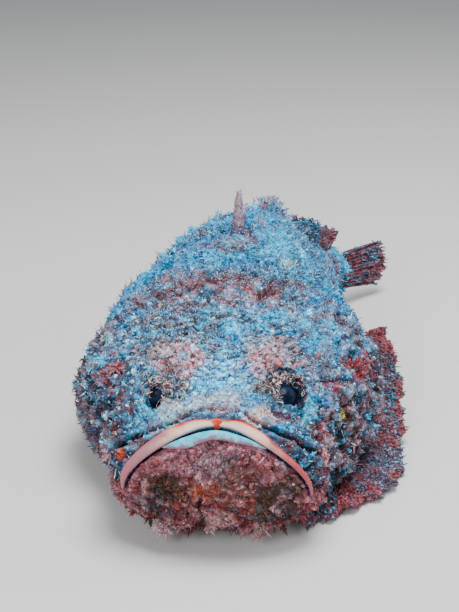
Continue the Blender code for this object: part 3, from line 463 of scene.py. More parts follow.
def gill_slit(p):
    """Depth of the curved furrow behind the gill covers."""
    x, s, z = parts(p)
    off = s - (10.4 - 0.10 * (z - 4) ** 2)
    side = ramp(np.abs(x), 4.6, 5.6) * ramp(z, 0.8, 1.6) * fall(z, 6.2, 7)
    return side * (0.16 * ramp(off, -1.2, -0.1) * (off < 0) - 0.34 * bell(off, 0.16))


def jaw_crease(p):
    """Upright crease in the middle of the lower jaw."""
    x, s, z = parts(p)
    off = x - (-0.60 + 0.08 * np.sin(z * 4))
    return 0.30 * bell(off, 0.09) * ramp(z, 0.5, 1) * fall(z, 3, 3.7) * (s < 1.5)


def crease_gap(p):
    """Distance to the crease over the upper lip, which runs alike on both sides."""
    return distance_to_line(p * (np.sign(p[..., :1]) * (1, 0, 0) + (0, 1, 1)), CREASE)


def cheeks(p):
    """1 on the sides of the head, where the skin is most rugged."""
    return ramp(np.abs(p[..., 0]), 3.6, 5.4) * fall(p[..., 1], 9.5, 12)


def skin_height(p, bare, slit_gap):
    """Fine relief of the skin in centimetres: lumps, warts, pits, the mouth, eyes and gill slits."""
    x, s, z = parts(p)
    calm = 1 - 0.5 * near(p, 0, 4.6, 6.8, 1.8)
    swayed = p + 0.45 * joined(*[cloud(p, 0.7, 8 + i) - 0.5 for i in range(3)])
    lumps = 0.44 * (clouds(p, 1.7, 3, 2) - 0.5) + 0.36 * (clouds(swayed, 0.75, 31, 3) - 0.5)
    gap, number = pebbles(swayed, 0.85, 40)
    warts = 0.13 * fall(gap, 0.02, 0.34) * (number > 0.5) * (1 - 0.7 * jaw_mask(p))
    streaks = 0.20 * (clouds(swayed * (0.45, 1, 1), 0.32, 130, 2) - 0.5)
    folds = 0.24 * (1 - 2 * np.abs(clouds(swayed, 0.9, 77, 2) - 0.5)) ** 6
    crease = crease_gap(p)
    mouth = -SLIT_DEPTH * bell(slit_gap, SLIT_WIDTH) - 0.08 * bare - CREASE_DEPTH * bell(crease, CREASE_WIDTH)
    mouth = mouth + 0.12 * bell(crease - 0.30, 0.15) * (1 - bare) * (z > mouth_height(x))
    coat = (1 - bare) * ramp(z, 0.15, 0.8) * calm * (1 - 0.4 * jaw_mask(p)) * (1 - eye_shadow(p) * 0.25)
    coat = coat * (lumps + warts + streaks - folds) * (1 + 0.5 * cheeks(p)) * (1 - 0.7 * bell(crease, 0.3))
    coat = coat + 0.45 * bell(s - NAPE_S, 0.5) * ramp(z, 6, 7) * (clouds(p, 0.9, 66, 2) - 0.32)
    return coat + mouth + eye_shape(p) + nostril_shape(p) + gill_slit(p) - jaw_crease(p)


# Marks on the skin: colour, x, s, z, radius, strength; x above 0 is the fish's left
MARKS = (
    ("pink", -2.4, 5.9, 7, 1.2, 0.65), ("brow", -1.9, 4.8, 7, 1.05, 0.9),
    ("rose", -2.4, 4.6, 6.9, 0.6, 0.7), ("red", -1.5, 4.5, 7, 0.4, 0.6), ("pink", 2.2, 6.1, 7, 1.2, 0.65),
    ("brow", 2, 5.1, 6.9, 1.05, 0.9), ("rose", 2, 4.4, 6.9, 0.6, 0.7),
    ("red", 2.3, 4, 6.75, 0.55, 0.95), ("brown", 2.4, 4.6, 6.9, 0.8, 0.8),
    ("mauve", 5.3, 5.2, 5.35, 0.85, 0.75), ("mauve", 4.1, 6.2, 6.4, 0.7, 0.7),
    ("mauve", 4.5, 7, 6.45, 0.6, 0.6), ("rose", 1.5, 5.3, 7.1, 0.5, 0.4), ("pink", 0.5, 5.3, 7, 0.5, 0.3),
    ("cream", -1.85, 1.95, 6.2, 0.65, 0.75), ("cream", 1.75, 1.85, 6.2, 0.65, 0.8),
    ("white", -1.96, 1.47, 5.94, 0.45, 0.6), ("pink", -2.5, 1.3, 5.6, 0.45, 0.5),
    ("maroon", 2.97, 1.17, 5.35, 0.55, 0.6), ("side", 3.6, 1.05, 4.75, 0.6, 0.6),
    ("cream", 0.2, 2.4, 6.45, 0.75, 0.6), ("cream", -0.7, 2.25, 6.35, 0.6, 0.6),
    ("pink", 2, 1.75, 6.1, 0.4, 0.5), ("pale", -3.2, 2.7, 5.9, 0.55, 0.7),
    ("pale", 3.7, 3.15, 5.75, 0.6, 0.7), ("pale", 0, 7.8, 7.2, 0.6, 0.35),
    ("olive", -5, 3.8, 4.2, 0.65, 0.9), ("dark", -4.5, 2.9, 4.5, 0.4, 0.8),
    ("olive", 5.4, 4.4, 4.1, 0.9, 0.9), ("dark", 5.3, 4.2, 4, 0.62, 0.95),
    ("yellow", 5.3, 4.5, 4.63, 0.40, 1), ("orange", 5.55, 4.8, 4.2, 0.14, 0.9),
    ("ochre", -1.63, 3.36, 6.5, 0.34, 0.85), ("ochre", 1.64, 3.56, 6.56, 0.28, 0.85),
    ("orange", -4, 1.15, 4.4, 0.31, 1), ("brow", 4.6, 1.9, 4.25, 0.5, 1),
    ("red", -5.1, 5.9, 5.9, 0.6, 0.95), ("red", 5.75, 7.1, 5.75, 0.75, 1),
    ("red", 4.8, 5.35, 5.65, 0.4, 0.9), ("red", 4.4, 3, 4.8, 0.42, 0.85),
    ("white", -5.85, 8.64, 6.06, 0.32, 1), ("red", 6.5, 8.3, 5.2, 0.7, 0.8),
    ("red", -5.1, 5.1, 5.4, 0.35, 0.7), ("pale", -5.8, 7, 5.7, 0.4, 0.8),
    ("mauve", -0.2, 0.1, 4.6, 0.8, 0.6), ("red", -1, 0.25, 1.9, 0.5, 0.8),
    ("rose", 0.4, -0.1, 3.8, 0.7, 0.35), ("rose", 1, 0, 3.4, 0.5, 0.3),
    ("orange", -0.3, 0, 3.5, 0.6, 0.45), ("red", 0.5, 0.1, 3, 0.6, 0.6),
    # Olive patches in the jaw's side hollows: olive colour, deepened there as painted shade of the hollows
    ("olive", -2.3, 0.4, 2.9, 1.25, 0.85), ("olive", 2.4, 0.6, 2.8, 1.2, 0.85),
    ("olive", 2.9, 0.6, 3.4, 0.8, 0.7), ("olive", 0.7, 0, 3.6, 1.2, 0.45),
    # Painted shade in the jaw's side hollows
    ("navy", -2.5, 0.5, 2.6, 0.5, 0.5), ("navy", 2.6, 0.6, 2.4, 0.5, 0.5),
    ("olive", -1.8, 0.25, 3.5, 0.7, 0.6), ("red", -3.2, 0.8, 3.2, 0.4, 0.7),
    ("maroon", -1.4, 0.3, 2, 0.9, 0.9), ("tassel", 0.1, 0.2, 1.8, 0.8, 0.8),
    ("tassel", -2.05, 0.7, 1.4, 0.55, 0.9), ("tassel", 1.75, 0.7, 1.4, 0.5, 0.7),
    ("pale", 1.9, 12.9, 9.2, 0.9, 0.6), ("white", 2.5, 12, 8.7, 0.5, 0.6),
    ("white", -2.9, 12.6, 8.5, 0.4, 0.5), ("white", 2.9, 13.9, 8.7, 0.4, 0.5),
    ("maroon", 3.2, 10.9, 7.6, 0.8, 0.5),
)


def markings(p, up, local, slit_gap):
    """Colour of the skin at places on it, from its region and its marks, with painted highlights where a
    place stands out from those round it and painted shade in its pits, low on the body, round the eyes, in
    the mouth's slit and in the crease over the upper lip; and how dusty it is with pale grains."""
    across, s, z = parts(p)
    x = np.abs(across)
    patches = clouds(p, 1.5, 90, 4)
    flecks = clouds(p, 0.5, 120, 3)
    fine = clouds(p * (0.6, 1, 1), 0.20, 140, 2)
    streaks = clouds(p * (0.35, 1, 1), 0.55, 150, 3)
    veil = clouds(p * (0.55, 1, 1), 1.2, 96, 3)
    specks = clouds(p, 0.10, 160, 2)
    side_on = cheeks(p)
    high = ramp(z + 1.4 * (patches - 0.5) + 0.35 * np.maximum(s - 14.5, 0), 4.6, 6.4)
    high = high * (1 - 0.55 * side_on * fall(z, 6.2, 7.4))
    muzzle = near(p, 0, 4.4, 6.8, 1.9)
    snout = np.clip(1.2 * near(p, 0, 4.2, 6.7, 2.1), 0, 1) * ramp(flecks, 0.2, 0.55)
    nape = 0.5 * ramp(s, 10.6, 11.6)
    jaw = jaw_mask(p)
    crest = bell(s - 10 + 2.4 * (patches - 0.5), 0.75) * fall(x, 2.6, 4.8)
    crest = crest * ramp(z, 6.6, 7.2) * fall(s - 0.8 * (flecks - 0.5), 10.5, 11.1)
    red = 0.10 + 0.50 * jaw + 0.30 * side_on
    beside = bell(s - 7, 3, 4) * (1 - bell(across - 0.3, 0.95)) * fall(x, 4, 5.2) * ramp(z, 5.8, 6.6)
    tint = mix(
        plain(p, "side"),
        ("back", high),
        ("snout", snout),
        ("mauve", 0.80 * ramp(veil, 0.47, 0.56) * high * (1 - muzzle) * (1 - nape)),
        ("pale", 0.50 * fall(veil, 0.36, 0.46) * high),
        ("snout", 0.8 * muzzle * ramp(flecks, 0.35, 0.55)),
        # Painted shade: darker low on the body, towards the floor
        ("low", fall(z, 1, 2.8) * 0.7),
        ("jaw", jaw * 0.95),
        ("jaw foot", jaw * 0.9 * fall(z, 1.6, 3)),
        ("jaw top", jaw * 0.9 * fall(mouth_height(across) - z, 1.1, 2)),
        ("red", red * ramp(patches * 0.5 + flecks * 0.5, 0.52, 0.62) * 0.85),
        ("red", crest * 0.60 * ramp(streaks, 0.50, 0.56)),
        ("brow", crest * 0.65 * ramp(flecks, 0.48, 0.56)),
        ("brown", (0.75 - 0.45 * muzzle) * ramp(streaks, 0.52, 0.60) * (1 - jaw)),
        ("olive", ramp(clouds(p, 0.9, 200, 3), 0.58, 0.70) * 0.5 * (0.4 + 0.6 * (1 - high))),
        ("mauve", 0.85 * beside * ramp(flecks * 0.6 + veil * 0.4, 0.42, 0.52)))
    for name, *place, radius, strength in MARKS:
        far = ((p - place) ** 2).sum(-1) / radius**2
        on_it = np.exp(-far) + 1.2 * (flecks - 0.5) * np.exp(-far / 2)
        tint = mix(tint, (name, strength * ramp(on_it, 0.22, 0.62)))
    pocket = eye_shadow(p)
    line = bell(crease_gap(p), 0.13)
    middle = fall(np.abs(across - 0.7), 0.8, 1.1)
    tint = mix(
        tint,
        ("red", 0.5 * near(p, 2, 4.8, 6.95, 1) * ramp(fine, 0.54, 0.64)),
        # Painted highlights: paler, and pinker on the jaw and cheeks, where the skin stands out from its
        # neighbours
        ("pale", ramp(local, 0.02, 0.12) * 0.25 * (1 - jaw) * (0.3 + 0.7 * high)),
        ("pink", ramp(local, 0.03, 0.12) * 0.40 * np.maximum(jaw, side_on)),
        ("pale", ramp(fine, 0.58, 0.70) * 0.40 * (1 - jaw)),
        ("pink", ramp(fine, 0.60, 0.70) * 0.45 * jaw),
        ("dark", fall(fine, 0.30, 0.42) * (0.45 - 0.10 * high - 0.2 * jaw)),
        # Painted shade: darker in the skin's pits, less so high on the back and on the jaw
        ("dark", ramp(-local, 0.015, 0.10) * (0.80 - 0.45 * high - 0.4 * jaw)),
        # Along the crease over the upper lip: red in its middle stretch and, to the sides, painted shade in
        # the groove
        ("red", line * 0.95 * middle),
        ("dark", line * 0.95 * (1 - middle)),
        # Painted shade round and above the eyes
        ("navy", pocket * 0.97),
        # Painted shade in the mouth's slit
        ("navy", fall(slit_gap, 0.06, 0.13) * 0.85))
    brow = bell(s - 6, 3.6, 4) * fall(x, 3, 4) * ramp(z, 5.6, 6.4)
    light = (1 + brow * (1.15 * ramp(specks, 0.36, 0.62) - 0.84)) * (1 + 0.75 * muzzle)
    tint = mix(tint * light[..., None], ("white", 0.6 * muzzle * ramp(specks, 0.56, 0.66)))
    dust = (0.3 + 0.7 * ramp(up, -0.1, 0.8)) * (0.30 + 0.70 * high)
    return tint, dust * (1 - 0.8 * jaw) * (1 - pocket) * (1 - 0.6 * side_on) * (1 - 0.8 * line)


def placed(name, data):
    """A new object of the scene."""
    ob = bpy.data.objects.new(name, data)
    bpy.context.scene.collection.objects.link(ob)
    return ob


def fill_mesh(name, points, faces):
    """A mesh from whole arrays: points, and arrays of faces, each array's of one number of corners."""
    mesh = bpy.data.meshes.new(name)
    corners = np.concatenate([f.ravel() for f in faces]).astype(np.int32)
    sizes = np.concatenate([np.full(len(f), f.shape[1]) for f in faces])
    mesh.vertices.add(len(points))
    mesh.vertices.foreach_set("co", np.asarray(points, np.float32).ravel())
    mesh.loops.add(len(corners))
    mesh.loops.foreach_set("vertex_index", corners)
    mesh.polygons.add(len(sizes))
    mesh.polygons.foreach_set("loop_start", (np.cumsum(sizes) - sizes).astype(np.int32))
    mesh.update(calc_edges=True)
    mesh.validate()
    return mesh


def piece(name, points, faces, material, nodes=(), tint=None, dust=None, uv=None, turn=True):
    """A finished piece in the frame, with its colours, finish slot and the nodes it stands for."""
    flat = bent(points.reshape(-1, 3)) * CM + SHIFT
    flat[:, 2] = np.maximum(flat[:, 2], 0)
    mesh = fill_mesh(name, flat, faces)
    mesh.shade_smooth()
    layer = mesh.color_attributes.new("tint", "FLOAT_COLOR", "POINT")
    rgba = np.concatenate([tint.reshape(-1, 3), np.ones((len(flat), 1))], 1)
    layer.data.foreach_set("color", rgba.astype(np.float32).ravel())
    if dust is not None:
        layer = mesh.attributes.new("dust", "FLOAT", "POINT")
        layer.data.foreach_set("value", dust.astype(np.float32).ravel())
    if uv is not None:
        layer = mesh.uv_layers.new(name="OFBake")
        index = np.empty(len(mesh.loops), np.int32)
        mesh.loops.foreach_get("vertex_index", index)
        layer.data.foreach_set("uv", uv[index].astype(np.float32).ravel())
    if turn:
        outward(mesh)
    mesh.materials.append(material)
    ob = placed(name, mesh)
    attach(ob, "root")
    if nodes:
        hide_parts(*nodes)


def outward(mesh):
    """Turn the faces of a closed mesh outwards where its signed volume is below zero."""
    co = np.empty(len(mesh.vertices) * 3)
    mesh.vertices.foreach_get("co", co)
    mesh.calc_loop_triangles()
    corners = np.empty(len(mesh.loop_triangles) * 3, np.int32)
    mesh.loop_triangles.foreach_get("vertices", corners)
    a, b, c = co.reshape(-1, 3)[corners.reshape(-1, 3)].transpose(1, 0, 2)
    if (a * np.cross(b, c)).sum() < 0:
        mesh.flip_normals()


def grid_faces(rows, cols, wrap):
    """Four-cornered faces of a grid of points, closed round its columns where wrap is set."""
    at = np.arange(rows * cols).reshape(rows, cols)
    right = np.roll(at, -1, 1) if wrap else at[:, 1:]
    here = at if wrap else at[:, :-1]
    return np.stack([here[1:], right[1:], right[:-1], here[:-1]], -1).reshape(-1, 4)


def closed_faces(rows, cols):
    """Faces of a grid closed round its columns, with one more point at each of its ends."""
    at = np.arange(rows * cols).reshape(rows, cols)
    right = np.roll(at, -1, 1)
    pole = np.full(cols, at.size)
    ends = [np.stack([at[0], right[0], pole], -1), np.stack([right[-1], at[-1], pole + 1], -1)]
    return [grid_faces(rows, cols, True), *ends]


def node(tree, kind, output, settings, **sockets):
    """Any node: its settings come first, then the values or links of its sockets, by name or number."""
    made = tree.nodes.new("ShaderNode" + kind)
    for key, value in settings.items():
        setattr(made, key, value)
    connect(tree, made, sockets)
    return Wire(tree, made.outputs[output])


def connect(tree, made, sockets):
    for key, value in sockets.items():
        slot = made.inputs[int(key[1:]) if key[1:].isdigit() else key.replace("_", " ")]
        if isinstance(value, Wire):
            tree.links.new(value.socket, slot)
        else:
            slot.default_value = value


class Wire:
    """A socket of a material's nodes that takes part in Python expressions."""

    def __init__(self, tree, socket):
        self.tree = tree
        self.socket = socket

    def maths(self, operation, first, second):
        return node(self.tree, "Math", 0, {"operation": operation}, _0=first, _1=second)

    def __add__(self, other):
        return self.maths("ADD", self, other)

    def __sub__(self, other):
        return self.maths("SUBTRACT", self, other)

    def __rsub__(self, other):
        return self.maths("SUBTRACT", other, self)

    def __mul__(self, other):
        return self.maths("MULTIPLY", self, other)

    __radd__ = __add__
    __rmul__ = __mul__

    def ramp(self, low, high):
        """0 below low and 1 above high, smoothly between."""
        return node(self.tree, "MapRange", "Result", {"interpolation_type": "SMOOTHSTEP"},
                    Value=self, From_Min=low, From_Max=high)


class Finish:
    """A material made of one Principled shader and the nodes that feed it."""

    def __init__(self, name, **constants):
        self.material = bpy.data.materials.new(name)
        self.material.use_nodes = True
        self.tree = self.material.node_tree
        self.connect(**constants)

    def connect(self, **values):
        connect(self.tree, self.tree.nodes["Principled BSDF"], values)
        return self.material

    def layer(self, name, output):
        """A value that the piece's points carry."""
        return node(self.tree, "Attribute", output, {"attribute_name": name})

    def texture(self, kind, scale, output=0, **sockets):
        place = node(self.tree, "TexCoord", "Object", {})
        return node(self.tree, "Tex" + kind, output, {}, Vector=place, Scale=scale, **sockets)

    def blend(self, amount, first, second, how="MIX"):
        """Mix of two colours; the Mix node takes them at its sockets 6 and 7 and gives theirs at 2."""
        settings = {"data_type": "RGBA", "blend_type": how}
        return node(self.tree, "Mix", 2, settings, _0=amount, _6=first, _7=second)

    def shaded(self, amount):
        """The piece's own tint, times an amount of light."""
        grey = node(self.tree, "CombineColor", 0, {}, Red=amount, Green=amount, Blue=amount)
        return self.blend(1, self.layer("tint", "Color"), grey, "MULTIPLY")

    def bump(self, strength, distance, height):
        return node(self.tree, "Bump", 0, {}, Strength=strength, Distance=distance, Height=height)


def rgba(name):
    return (*paint(name).tolist(), 1)


def encrusted_skin(name, speck=1, bump=0.8):
    """Matte warty skin: its painted tint broken up by fine grain, with pale sand grains on top."""
    finish = Finish(name, Specular_IOR_Level=0.10)
    dust = finish.layer("dust", "Fac")
    grain = finish.texture("Noise", 1300, Detail=2, Roughness=0.6)
    mottle = finish.texture("Noise", 520, Detail=3, Roughness=0.65)
    patch = finish.texture("Noise", 260, Detail=4, Roughness=0.7)
    cell = finish.texture("Voronoi", 1250, "Distance")
    chance = node(finish.tree, "TexWhiteNoise", 0, {}, Vector=finish.texture("Voronoi", 1250, "Position"))
    base = finish.shaded(0.34 + 0.62 * grain.ramp(0.36, 0.62) + 0.74 * mottle.ramp(0.38, 0.62))
    base = finish.blend(patch.ramp(0.55, 0.64) * 0.55, base, rgba("rust"))
    base = finish.blend((1 - patch).ramp(0.56, 0.66) * (0.06 + 0.40 * dust), base, rgba("light blue"))
    base = finish.blend((1 - patch).ramp(0.52, 0.64) * (0.34 - 0.34 * dust), base, rgba("slate"))
    grains = (0.42 - cell).ramp(0, 0.14) * (chance - (1 - 0.50 * speck * dust)).ramp(0, 0.02)
    base = finish.blend(grains, base, rgba("grain"))
    normal = finish.bump(bump, 0.0012, 0.7 * grain + 0.8 * mottle + 0.5 * grains)
    return finish.connect(Base_Color=base, Roughness=0.70 + 0.2 * grain, Normal=normal)


def bare_lip(name):
    """Smooth moist lip skin with faint cross lines."""
    finish = Finish(name, Roughness=0.45, Specular_IOR_Level=0.28, Coat_Weight=0.05)
    fine = finish.texture("Noise", 520, Detail=3)
    base = finish.shaded(0.78 + 0.22 * fine + 0.2 * finish.texture("Noise", 120, Detail=2))
    return finish.connect(Base_Color=base, Normal=finish.bump(0.25, 0.0005, fine))


def wet_eye(name):
    """Dark glossy eyeball with a faint speckle."""
    finish = Finish(name, Roughness=0.35, Specular_IOR_Level=0.09, Coat_Weight=0.04, Coat_Roughness=0.15)
    return finish.connect(Base_Color=finish.shaded(0.5 + finish.texture("Noise", 1600, Detail=2)))


# Grid of the skin: rows over the face and the body's stretches, columns over the back and belly
FACE_ROWS = 108
BODY_ROWS = ((2.6, 11, 146), (11, 16, 54), (16, TAIL_END, 48))
END_ROWS = 7
OVER_THE_BACK = 214
UNDER_THE_BELLY = 54


def skin_grid():
    """Parameters u by row and theta by column of the skin's grid."""
    rows = [np.linspace(0.004, 1, FACE_ROWS, endpoint=False)]
    for start, end, count in BODY_ROWS:
        rows.append(np.linspace(start, end, count, endpoint=False) - FACE_DEPTH + 1)
    rows.append(TAIL_END - FACE_DEPTH + 1 + TAIL_ROUND * (1 - np.linspace(1, 0, END_ROWS + 1)[:-1] ** 2))
    over = np.linspace(0, PI, OVER_THE_BACK, endpoint=False)
    under = np.linspace(PI, 2 * PI, UNDER_THE_BELLY, endpoint=False)
    return np.meshgrid(np.concatenate(rows), np.concatenate([over, under]), indexing="ij")


def smoothed(grid, times):
    """A grid's values spread over their neighbours, the columns running round."""
    for _ in range(times):
        up = np.concatenate([grid[:1], grid[:-1]])
        down = np.concatenate([grid[1:], grid[-1:]])
        grid = (grid + up + down + np.roll(grid, 1, 1) + np.roll(grid, -1, 1)) / 5
    return grid


def skin():
    """The skin, and its places, normals, tint and dust at every point of its grid."""
    base, normal = body(*skin_grid())
    bare, slit_gap = lip_zone(base)
    height = skin_height(base, bare, slit_gap)
    place = base + normal * height[..., None]
    place[..., 2] = np.maximum(place[..., 2], 0)
    sideways = (np.roll(place, -1, 1) - np.roll(place, 1, 1)) / 2
    facing = unit(np.cross(np.gradient(place, axis=0), sideways))
    tint, dust = markings(base, facing[..., 2], height - smoothed(height, 30), slit_gap)
    points, tints, dusts = (
        np.concatenate([grid.reshape(-1, *grid.shape[2:]), grid[[0, -1]].mean(1)])
        for grid in (place, tint, dust))
    piece("skin", points, closed_faces(*dust.shape), encrusted_skin("speckled skin"),
          ("head", "lower_jaw", "gill_cover_left", "gill_cover_right", "torso", "tail_stalk"),
          tints, dusts, turn=False)
    return place, facing, tint, dust


def fan(sides):
    """Triangles that close the first of some rings of points."""
    return np.array([[0, i + 1, i] for i in range(1, sides - 1)])


def tube_faces(count, rings, sides):
    """Faces of many closed tapering tubes, each of rings of points and one end point."""
    each = rings * sides + 1
    at = np.arange(rings * sides).reshape(rings, sides)
    right = np.roll(at, -1, 1)
    quads = np.stack([at[:-1], right[:-1], right[1:], at[1:]], -1).reshape(-1, 4)
    tip = np.stack([at[-1], right[-1], np.full(sides, each - 1)], -1)
    ends = np.concatenate([tip, fan(sides)])
    start = (np.arange(count) * each)[:, None, None]
    return [(faces + start).reshape(-1, faces.shape[1]) for faces in (quads, ends)]


Roots = namedtuple("Roots", "place normal tint dust patch")


class Ground:
    """The skin's grid as ground for what grows on it."""

    def __init__(self, place, facing, tint, dust):
        self.place = place
        self.layers = (place, facing, tint, dust)
        down = place[1:] - place[:-1]
        right = (np.roll(place, -1, 1) - place)[:-1]
        self.area = np.linalg.norm(np.cross(right, down), axis=-1)
        self.tree = KDTree(dust.size)
        for i, point in enumerate(place.reshape(-1, 3).tolist()):
            self.tree.insert(point, i)
        self.tree.balance()

    def patch(self, row, col):
        """Places of patches on the unwrap of the grid."""
        rows, cols = self.place.shape[:2]
        return joined(col / cols, row / rows) * 0.99 + 0.005

    def roots(self, count, density, chance):
        """Random roots, as many on an area as its density."""
        total = np.cumsum(self.area * density[:-1])
        pick = np.searchsorted(total, chance.random(count) * total[-1])
        row, col = np.unravel_index(pick, self.area.shape)
        down, right = chance.random((2, count))
        beside = (col + 1) % self.place.shape[1]

        def blended(values):
            a, b = (down, right) if values.ndim == 2 else (down[:, None], right[:, None])
            upper = values[row, col] * (1 - b) + values[row, beside] * b
            lower = values[row + 1, col] * (1 - b) + values[row + 1, beside] * b
            return upper * (1 - a) + lower * a
        place, facing, tint, dust = map(blended, self.layers)
        return Roots(place, unit(facing), tint, dust, self.patch(row + down, col + right))

    def nearest(self, places):
        """Roots at the grid's points nearest to the places."""
        pick = np.array([self.tree.find(p)[1] for p in places.tolist()])
        row, col = np.divmod(pick, self.place.shape[1])
        return Roots(*[values[row, col] for values in self.layers], self.patch(row, col))


def drawn(start, way, long, t, sag=0):
    """Lines of places that leave their starts along a way, (count, places, 3), and sag with the square
    of the distance; t has the places' parts of the length."""
    t = np.asarray(t)[:, None]
    away = start[:, None] + (way * long[:, None])[:, None] * t
    return away + (sag * long[:, None])[:, None] * t.clip(0) ** 2


def grow(name, roots, lines, wide, thin, side, sides, tip, amount=1):
    """One coat piece of many tufts, each with its root's colour and patch, changing to the tip's.

    A tuft is a closed tube along its line, whose last place is its end. Its rings are ellipses, wide
    across the side's way and thin across the other.
    """
    count, rings = len(lines), lines.shape[1] - 1
    step = unit(np.gradient(lines, axis=1))
    across = unit(np.cross(step, side[:, None, :]))
    out = np.cross(across, step)
    turn = np.arange(sides) * 2 * PI / sides
    ring = (lines[:, :rings, None]
            + across[:, :rings, None] * (wide[:, :rings, None] * np.cos(turn))[..., None]
            + out[:, :rings, None] * (thin[:, :rings, None] * np.sin(turn))[..., None])
    points = np.concatenate([ring.reshape(count, -1, 3), lines[:, -1:]], 1)
    each = points.shape[1]
    rise = np.append(np.repeat(np.linspace(0, 1, rings + 1)[:-1], sides), 1)
    part = np.clip(np.broadcast_to(amount, count)[:, None] * rise, 0, 1)[..., None]
    colour = roots.tint[:, None] * (1 - part) + tip[:, None] * part
    number = np.arange(each) * 2.4
    uv = roots.patch[:, None] + joined(np.cos(number), np.sin(number)) * 0.0015
    piece(name, points, tube_faces(count, rings, sides), CRUST, (), colour,
          np.repeat(roots.dust, each), uv.reshape(-1, 2), False)


def warmth(tint, low, high):
    """0 on colours that are bluer than red, 1 on those redder than blue."""
    return ramp(tint[:, 0] / (tint[:, 2] + 1e-3), low, high)


def speckled(tint, chance, amount=1):
    """Root colours with some tufts pale or pink, some dark and some red, as the crust is."""
    draw = chance.random(len(tint))
    shade = np.exp(chance.normal(0, 0.30, len(tint)))[:, None]
    cool = 1 - warmth(tint, 0.8, 1.4)
    bright = ramp(tint.sum(-1), 0.06, 0.2)
    red = np.clip(0.4 + 1.6 * warmth(tint, 0.6, 1.5), 0, 2)
    return mix(
        np.clip(tint * shade, 0, 1),
        ("pale", 0.70 * amount * (draw < 0.16) * bright * cool),
        ("white", 0.92 * amount * (draw < 0.10) * bright * cool),
        ("pink", 0.50 * amount * (draw < 0.11) * bright * (1 - cool)),
        ("brown", 0.80 * amount * (draw > 0.20) * (draw < 0.28) * cool),
        ("dark", 0.70 * amount * (draw > 0.89 + 0.05 * bright * cool)),
        ("red", 0.60 * amount * (draw > 0.50) * (draw < 0.50 + 0.10 * red)))


def lighter(tint):
    """Light tip colours: pale on cool roots and pink on warm ones."""
    warm = warmth(tint, 0.6, 1.2)
    bright = ramp(tint.sum(-1), 0.03, 0.25)
    return mix(np.clip(tint * 1.3, 0, 1), ("pale", 0.6 * bright * (1 - warm)), ("pink", 0.30 * bright * warm))


def picked(roots, pick):
    """Roots chosen by their numbers."""
    return Roots(*[values[pick] for values in roots])


def any_way(count, chance):
    """Random ways, one for each of a count."""
    return unit(chance.normal(0, 1, (count, 3)))


def sideways_of(way, chance):
    """A random way across each way."""
    return unit(np.cross(way, chance.normal(0, 1, way.shape)))


def strands(name, count, density, length, radius, flatness, lean, lift, seed,
            light=0.35, sides=3):
    """Hair-like growths: lines that leave the skin and bend over towards the tail and downwards."""
    chance = np.random.default_rng(seed)
    roots = GROUND.roots(count, density, chance)
    long = length * np.exp(chance.normal(0, 0.35, count))
    way = unit(roots.normal * lift + chance.normal(0, lean, (count, 3)) + (0, 0.12, 0))
    sag = chance.normal(0, 0.35, (count, 3)) + (0, 0.2, -0.25)
    lines = drawn(roots.place, way, long, (-0.25, 1 / 3, 2 / 3, 1), sag / 2)
    girth = radius * np.exp(chance.normal(0, 0.25, count))[:, None] * np.linspace(1, 0.35, 4)
    side = sideways_of(way, chance)
    roots = roots._replace(tint=speckled(roots.tint, chance))
    grow(name, roots, lines, girth * flatness, girth, side, sides, lighter(roots.tint),
         light * chance.random(count))


def granules(name, count, density, size, seed, sides=5):
    """Low rounded grains of the crust, a ring sunk in the skin, one above it and a blunt top."""
    chance = np.random.default_rng(seed)
    roots = GROUND.roots(count, density, chance)
    big = size * np.exp(chance.normal(0, 0.4, count))
    way = unit(roots.normal + chance.normal(0, 0.35, (count, 3)))
    lines = drawn(roots.place, way, big * chance.uniform(0.5, 1.6, count), (-0.35, 0.35, 0.8))
    girth = big[:, None] * (1, 0.75, 0.1)
    wide = girth * chance.uniform(0.8, 1.7, count)[:, None]
    side = sideways_of(way, chance)
    roots = roots._replace(tint=speckled(roots.tint, chance, 0.55))
    grow(name, roots, lines, wide, girth, side, sides, np.clip(roots.tint * 1.2, 0, 1))


